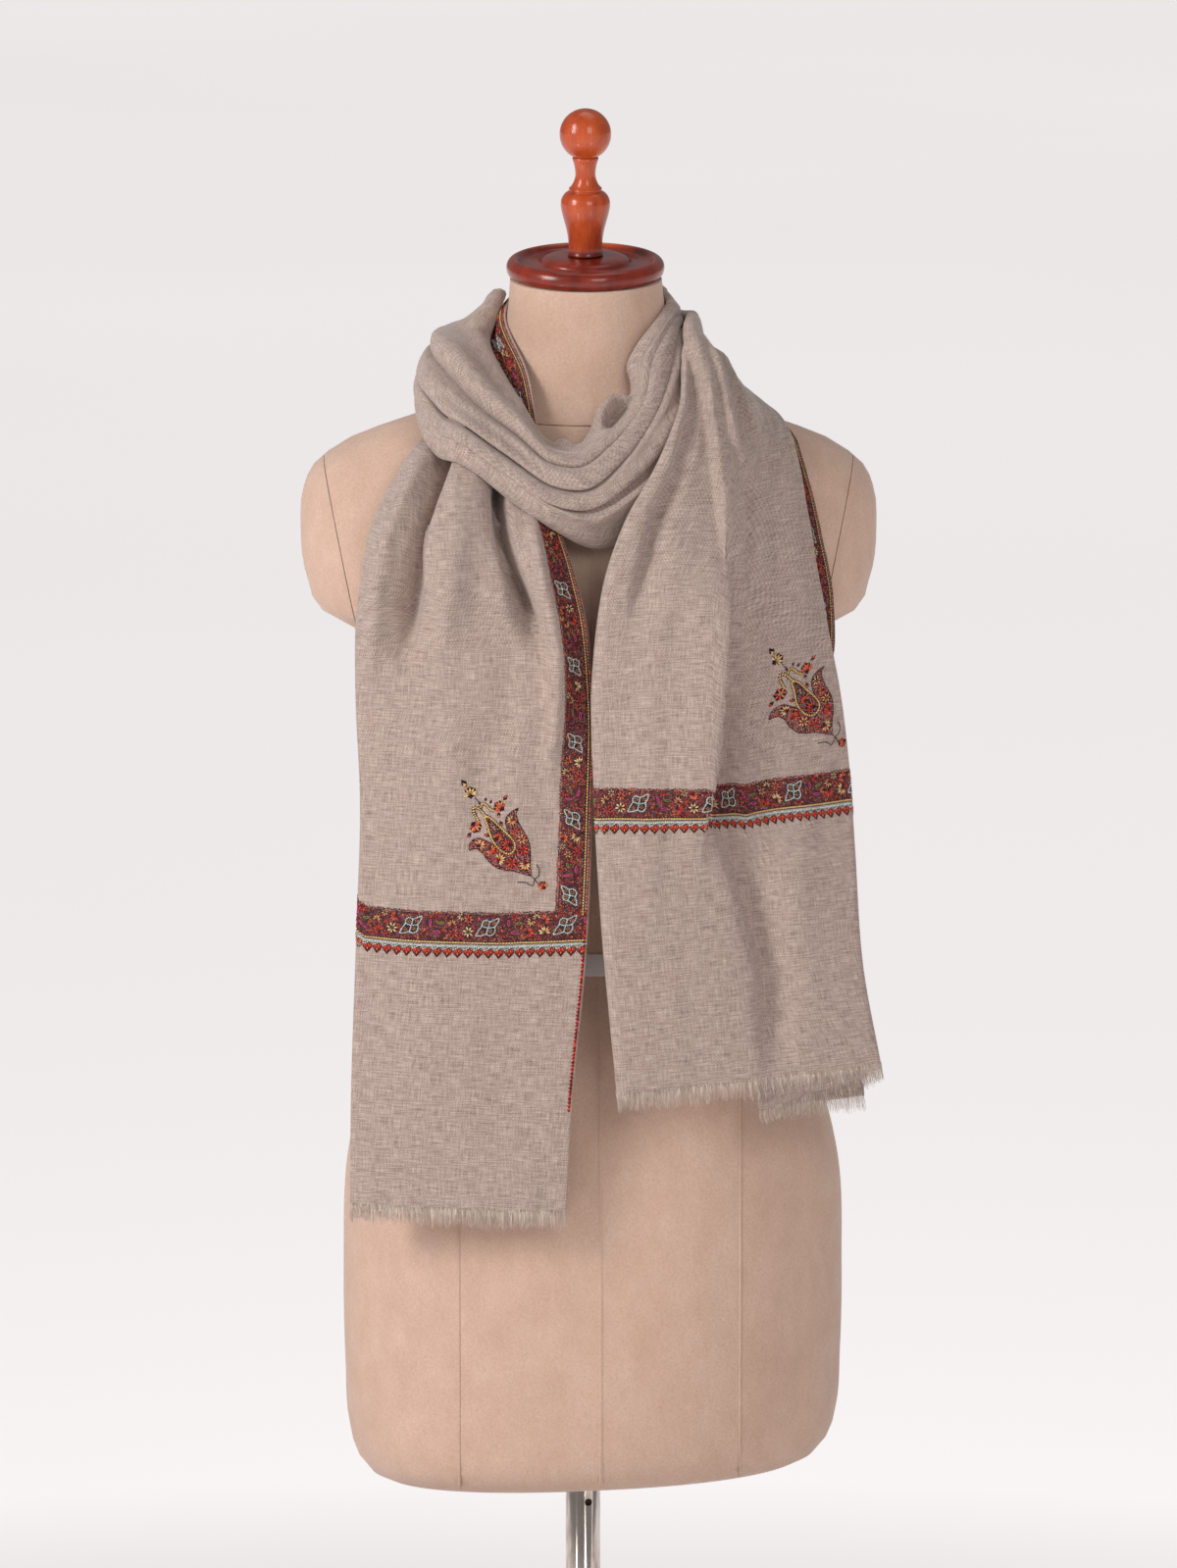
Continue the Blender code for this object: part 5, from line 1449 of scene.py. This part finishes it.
edgeBorders = {
    # piece: layer, from, to, a medallion at, inner line, width, lowest stitch
    "left_edge": ("left", 214, 860, 228, 21.4, 17.2, 75),
    "right_edge": ("last", 214, 590, 240, 21.4, 17.2, 8),
}
endBorders = {
    # piece: layer, top, width, where its run starts and which way it goes, runs (from, to, a medallion at),
    # sag
    "left_end": ("left", 214.6, 19.6, (172, -1), ((0, 173, 49),),
        ((0, 3), (30, 1), (60, -1), (130, -1), (156, 0), (161, 3), (167, 8))),
    "right_end": ("right", 215.0, 19.6, (0, 1), ((-12, 79, 24.6), (79, 232, 120)),
        ((0, 4), (40, 1), (79, 0), (130, -1), (195, -3))),
}
# layer, tip of its small leaf on the cloth, scale across
motifs = {"left_end": ((92, 307), -1.0), "right_end": ((146, 304), 1.12)}


def embroider(tables):
    pick = random.Random(31)
    finish, ground = embroideryThread(), filledGround()
    made = []
    for name, (layer, start, end, medallionAt, inner, width, ticksFrom) in edgeBorders.items():
        stitches = edgeRun(start, end, medallionAt, inner, width, ticksFrom, pick)
        made.append(stitchPiece("embroidery_" + name, tables[layer], stitches, finish, pick))
        span = (inner - width - 1.8, inner - 0.6)
        made.append(groundStrip("embroidery_ground_" + name, tables[layer], span, (start, end), ground))
    for name, (layer, top, width, across, parts, sag) in endBorders.items():
        stitches = endRun(parts, top, width, across, sag, pick)
        tip, scale = motifs[name]
        stitches += laid(paisleyStitches(pick), tip, (scale, 0), (0, -1))
        made.append(stitchPiece("embroidery_" + name, tables[layer], stitches, finish, pick))
        span = sorted(across[0] + across[1] * x for x in (parts[0][0], parts[-1][1]))
        depth = (top - width - 1.2, top - 0.6)
        made.append(groundStrip("embroidery_ground_" + name, tables[layer], span, depth, ground, sag))
    return made


# Fringe: loose ends of the warp along each hem

fringeLook = {
    "pitch": 0.42, "length": (7.0, 11.0), "root": (1.2, 4.5), "thick": 0.26, "taper": 0.62, "steps": 4,
    "wander": 1.3, "clump": 1.9, "ragged": 0.3, "lift": 0.9, "curl": 0.35, "margins": (0.4, 0.3),
}


def fringeStrands(hem, below, normals, pick):
    # Bent and tapered strands that hang from a line of hem points
    look, steps, at = fringeLook, fringeLook["steps"], runOf(hem)
    lines, points, faces = (hem, below, normals), [], []
    place = look["margins"][0]
    while place < at[-1] - look["margins"][1]:
        here, down, out = (np.array([np.interp(place, at, row) for row in each.T]) for each in lines)
        down, out = down / np.linalg.norm(down), out / np.linalg.norm(out)
        side = np.cross(down, out)
        ragged = noise.noise(Vector((place / 9, here[2] / 50, 2.0)))
        clump = noise.noise(Vector((place / 2.6, here[0] / 40, 7.0)))
        length = pick.uniform(*look["length"]) * (1 + look["ragged"] * ragged)
        drift = look["clump"] * clump + pick.uniform(-0.5, 0.5) * look["wander"]
        lift = pick.uniform(-look["lift"], look["lift"])
        thick = look["thick"] * pick.uniform(0.8, 1.2)
        turn = pick.uniform(0, 2)
        root = pick.uniform(*look["root"])
        first = len(points)
        for t in [k / steps for k in range(steps + 1)]:
            middle = here + out * 0.5 * (1 - t) + down * (t * (length + root) - root)
            middle = middle + side * drift * t * t + out * lift * t * t
            middle = middle + side * look["curl"] * math.sin(5 * t + turn)
            wide = thick * (1 - look["taper"] * t)
            for way in [turn + 2 * math.pi * corner / 3 for corner in range(3)]:
                points.append(middle + side * math.cos(way) * wide + out * math.sin(way) * wide)
        faces += (gridFaces(steps + 1, 3, roundColumns=True)[:, [0, 3, 2, 1]] + first).tolist()
        last = first + 3 * steps
        faces += [(first + 2, first + 1, first), (last, last + 1, last + 2)]
        place += look["pitch"] * pick.uniform(0.7, 1.3)
    return points, faces


def fringeThread():
    made, tree, shader = newMaterial(
        "fringe wool", colour(196, 176, 162), 0.85,
        Sheen_Weight=0.3, Sheen_Roughness=0.5, Specular_IOR_Level=0.15)
    place = objectPlace(tree)
    strands = fibres(tree, place, (700, 700, 60), 2, 0.5)
    dark, light = colour(186, 166, 152), colour(232, 214, 200)
    tint(tree, shader, mixed(tree, between(tree, strands, 0.35, 0.65), dark, light))
    bump(tree, shader, grain(tree, place, 2400), 0.0002, 0.5)
    return made


def fringes(grid, middle):
    pick = random.Random(5)
    normals = gridNormals(grid)
    finish = fringeThread()
    made = []
    # side, row of its hem, the next row in, columns
    for side, row, inner, columns in (("left", 0, 1, middle + 1), ("right", -1, -2, grid.shape[1])):
        hem = grid[row, :columns]
        points, faces = fringeStrands(hem, hem - grid[inner, :columns], normals[row, :columns], pick)
        obj = meshPiece("fringe_strands_" + side, points, faces)
        made.append(finishPiece(obj, finish, ["fringe_tail_" + side]))
    return made


# Stage, light and camera

floorLook = {
    "dim": colour(234, 229, 229), "bright": colour(242, 239, 240),
    "glowSpan": (0.4, 1.8), "glow": (0.0, 0.64),
}


def stage():
    deselectAll()
    bpy.ops.mesh.primitive_circle_add(vertices=128, radius=240, fill_type="NGON")
    floor = bpy.context.active_object
    floor.name = "studio_floor"
    made, tree, shader = newMaterial("studio floor", colour(240, 236, 236), 0.95, Specular_IOR_Level=0.0)
    drift = grain(tree, objectPlace(tree), 0.12)
    tone = mixed(tree, drift, floorLook["dim"], floorLook["bright"])
    tint(tree, shader, tone)
    tree.links.new(tone, shader.inputs["Emission Color"])
    away = node(tree, "ShaderNodeVectorMath", {0: objectPlace(tree)}, operation="LENGTH").outputs["Value"]
    glow = between(tree, away, *floorLook["glowSpan"], *floorLook["glow"])
    tree.links.new(glow, shader.inputs["Emission Strength"])
    floor.data.materials.append(made)


worldLook = {"tone": colour(250, 247, 247), "strength": 0.25}
lamps = (
    # name, place, aimed at, width, height, watts, tone
    ("key softbox", (-2.15, -1.5, 2.25), (0, 0, 1.2), 0.9, 1.3, 39, (1.0, 0.985, 0.97)),
    ("fill softbox", (1.2, -3.4, 2.7), (0, 0, 1.0), 1.3, 1.8, 31, (1.0, 0.99, 0.98)),
    ("top softbox", (0.2, 0.3, 3.2), (0, 0, 1.0), 1.4, 1.0, 5, (1.0, 1.0, 1.0)),
    ("low left strip", (-0.8, -0.9, 0.24), (0, 0, 0.36), 0.1, 0.34, 0.7, (1.0, 0.99, 0.98)),
    ("low right strip", (0.75, -1.3, 0.2), (0, 0, 0.36), 0.06, 0.34, 0.5, (1.0, 0.99, 0.98)),
)
suns = (
    # name, turn round Z and height in degrees, strength, spread in degrees
    ("key sun", -62, 34, 0.55, 16),
)


def lamp(name, kind, energy, aim, place=(0, 0, 0)):
    data = bpy.data.lights.new(name, kind)
    data.energy = energy
    obj = bpy.data.objects.new(name, data)
    obj.location = place
    obj.rotation_euler = aim.to_track_quat("-Z", "Y").to_euler()
    bpy.context.scene.collection.objects.link(obj)
    return data


def light():
    world = bpy.data.worlds.new("studio")
    bpy.context.scene.world = world
    world.use_nodes = True
    ground = world.node_tree.nodes["Background"]
    ground.inputs["Color"].default_value = worldLook["tone"]
    ground.inputs["Strength"].default_value = worldLook["strength"]
    for name, place, aim, width, height, watts, tone in lamps:
        data = lamp(name, "AREA", watts, Vector(aim) - Vector(place), place)
        data.shape = "RECTANGLE"
        data.size, data.size_y = width, height
        data.color = tone
    for name, turn, height, strength, spread in suns:
        turn, height = math.radians(turn), math.radians(height)
        level = math.cos(height)
        aim = Vector((-math.sin(turn) * level, math.cos(turn) * level, -math.sin(height)))
        lamp(name, "SUN", strength, aim).angle = math.radians(spread)


view = {
    "target": (0, 0, 0.9134), "pitch": math.radians(8), "distance": 6.0,
    "lens": 192.98, "sensor": 36, "far": 600,
}


def camera():
    data = bpy.data.cameras.new("camera")
    data.lens = view["lens"]
    data.sensor_width = view["sensor"]
    data.clip_end = view["far"]
    obj = bpy.data.objects.new("camera", data)
    back = Vector((0, -math.cos(view["pitch"]), math.sin(view["pitch"])))
    obj.location = Vector(view["target"]) + back * view["distance"]
    obj.rotation_euler = (math.pi / 2 - view["pitch"], 0, 0)
    bpy.context.scene.collection.objects.link(obj)
    bpy.context.scene.camera = obj
    bpy.context.scene.view_settings.view_transform = "Standard"


cover = dressForm()
seamLines(cover)
waistTape()
print("form ready")
turnedWood()
stand()
print("turned wood and stand ready")
grid, middle, tailFirst = shawlGrid(formTree())
main, under = shawlPieces(grid, middle, tailFirst, pashmina())
print("shawl ready")
stitched = embroider(clothTables(grid, middle, tailFirst))
print("embroidery ready")
ends = fringes(grid, middle)
print("fringe ready")
stage()
light()
camera()
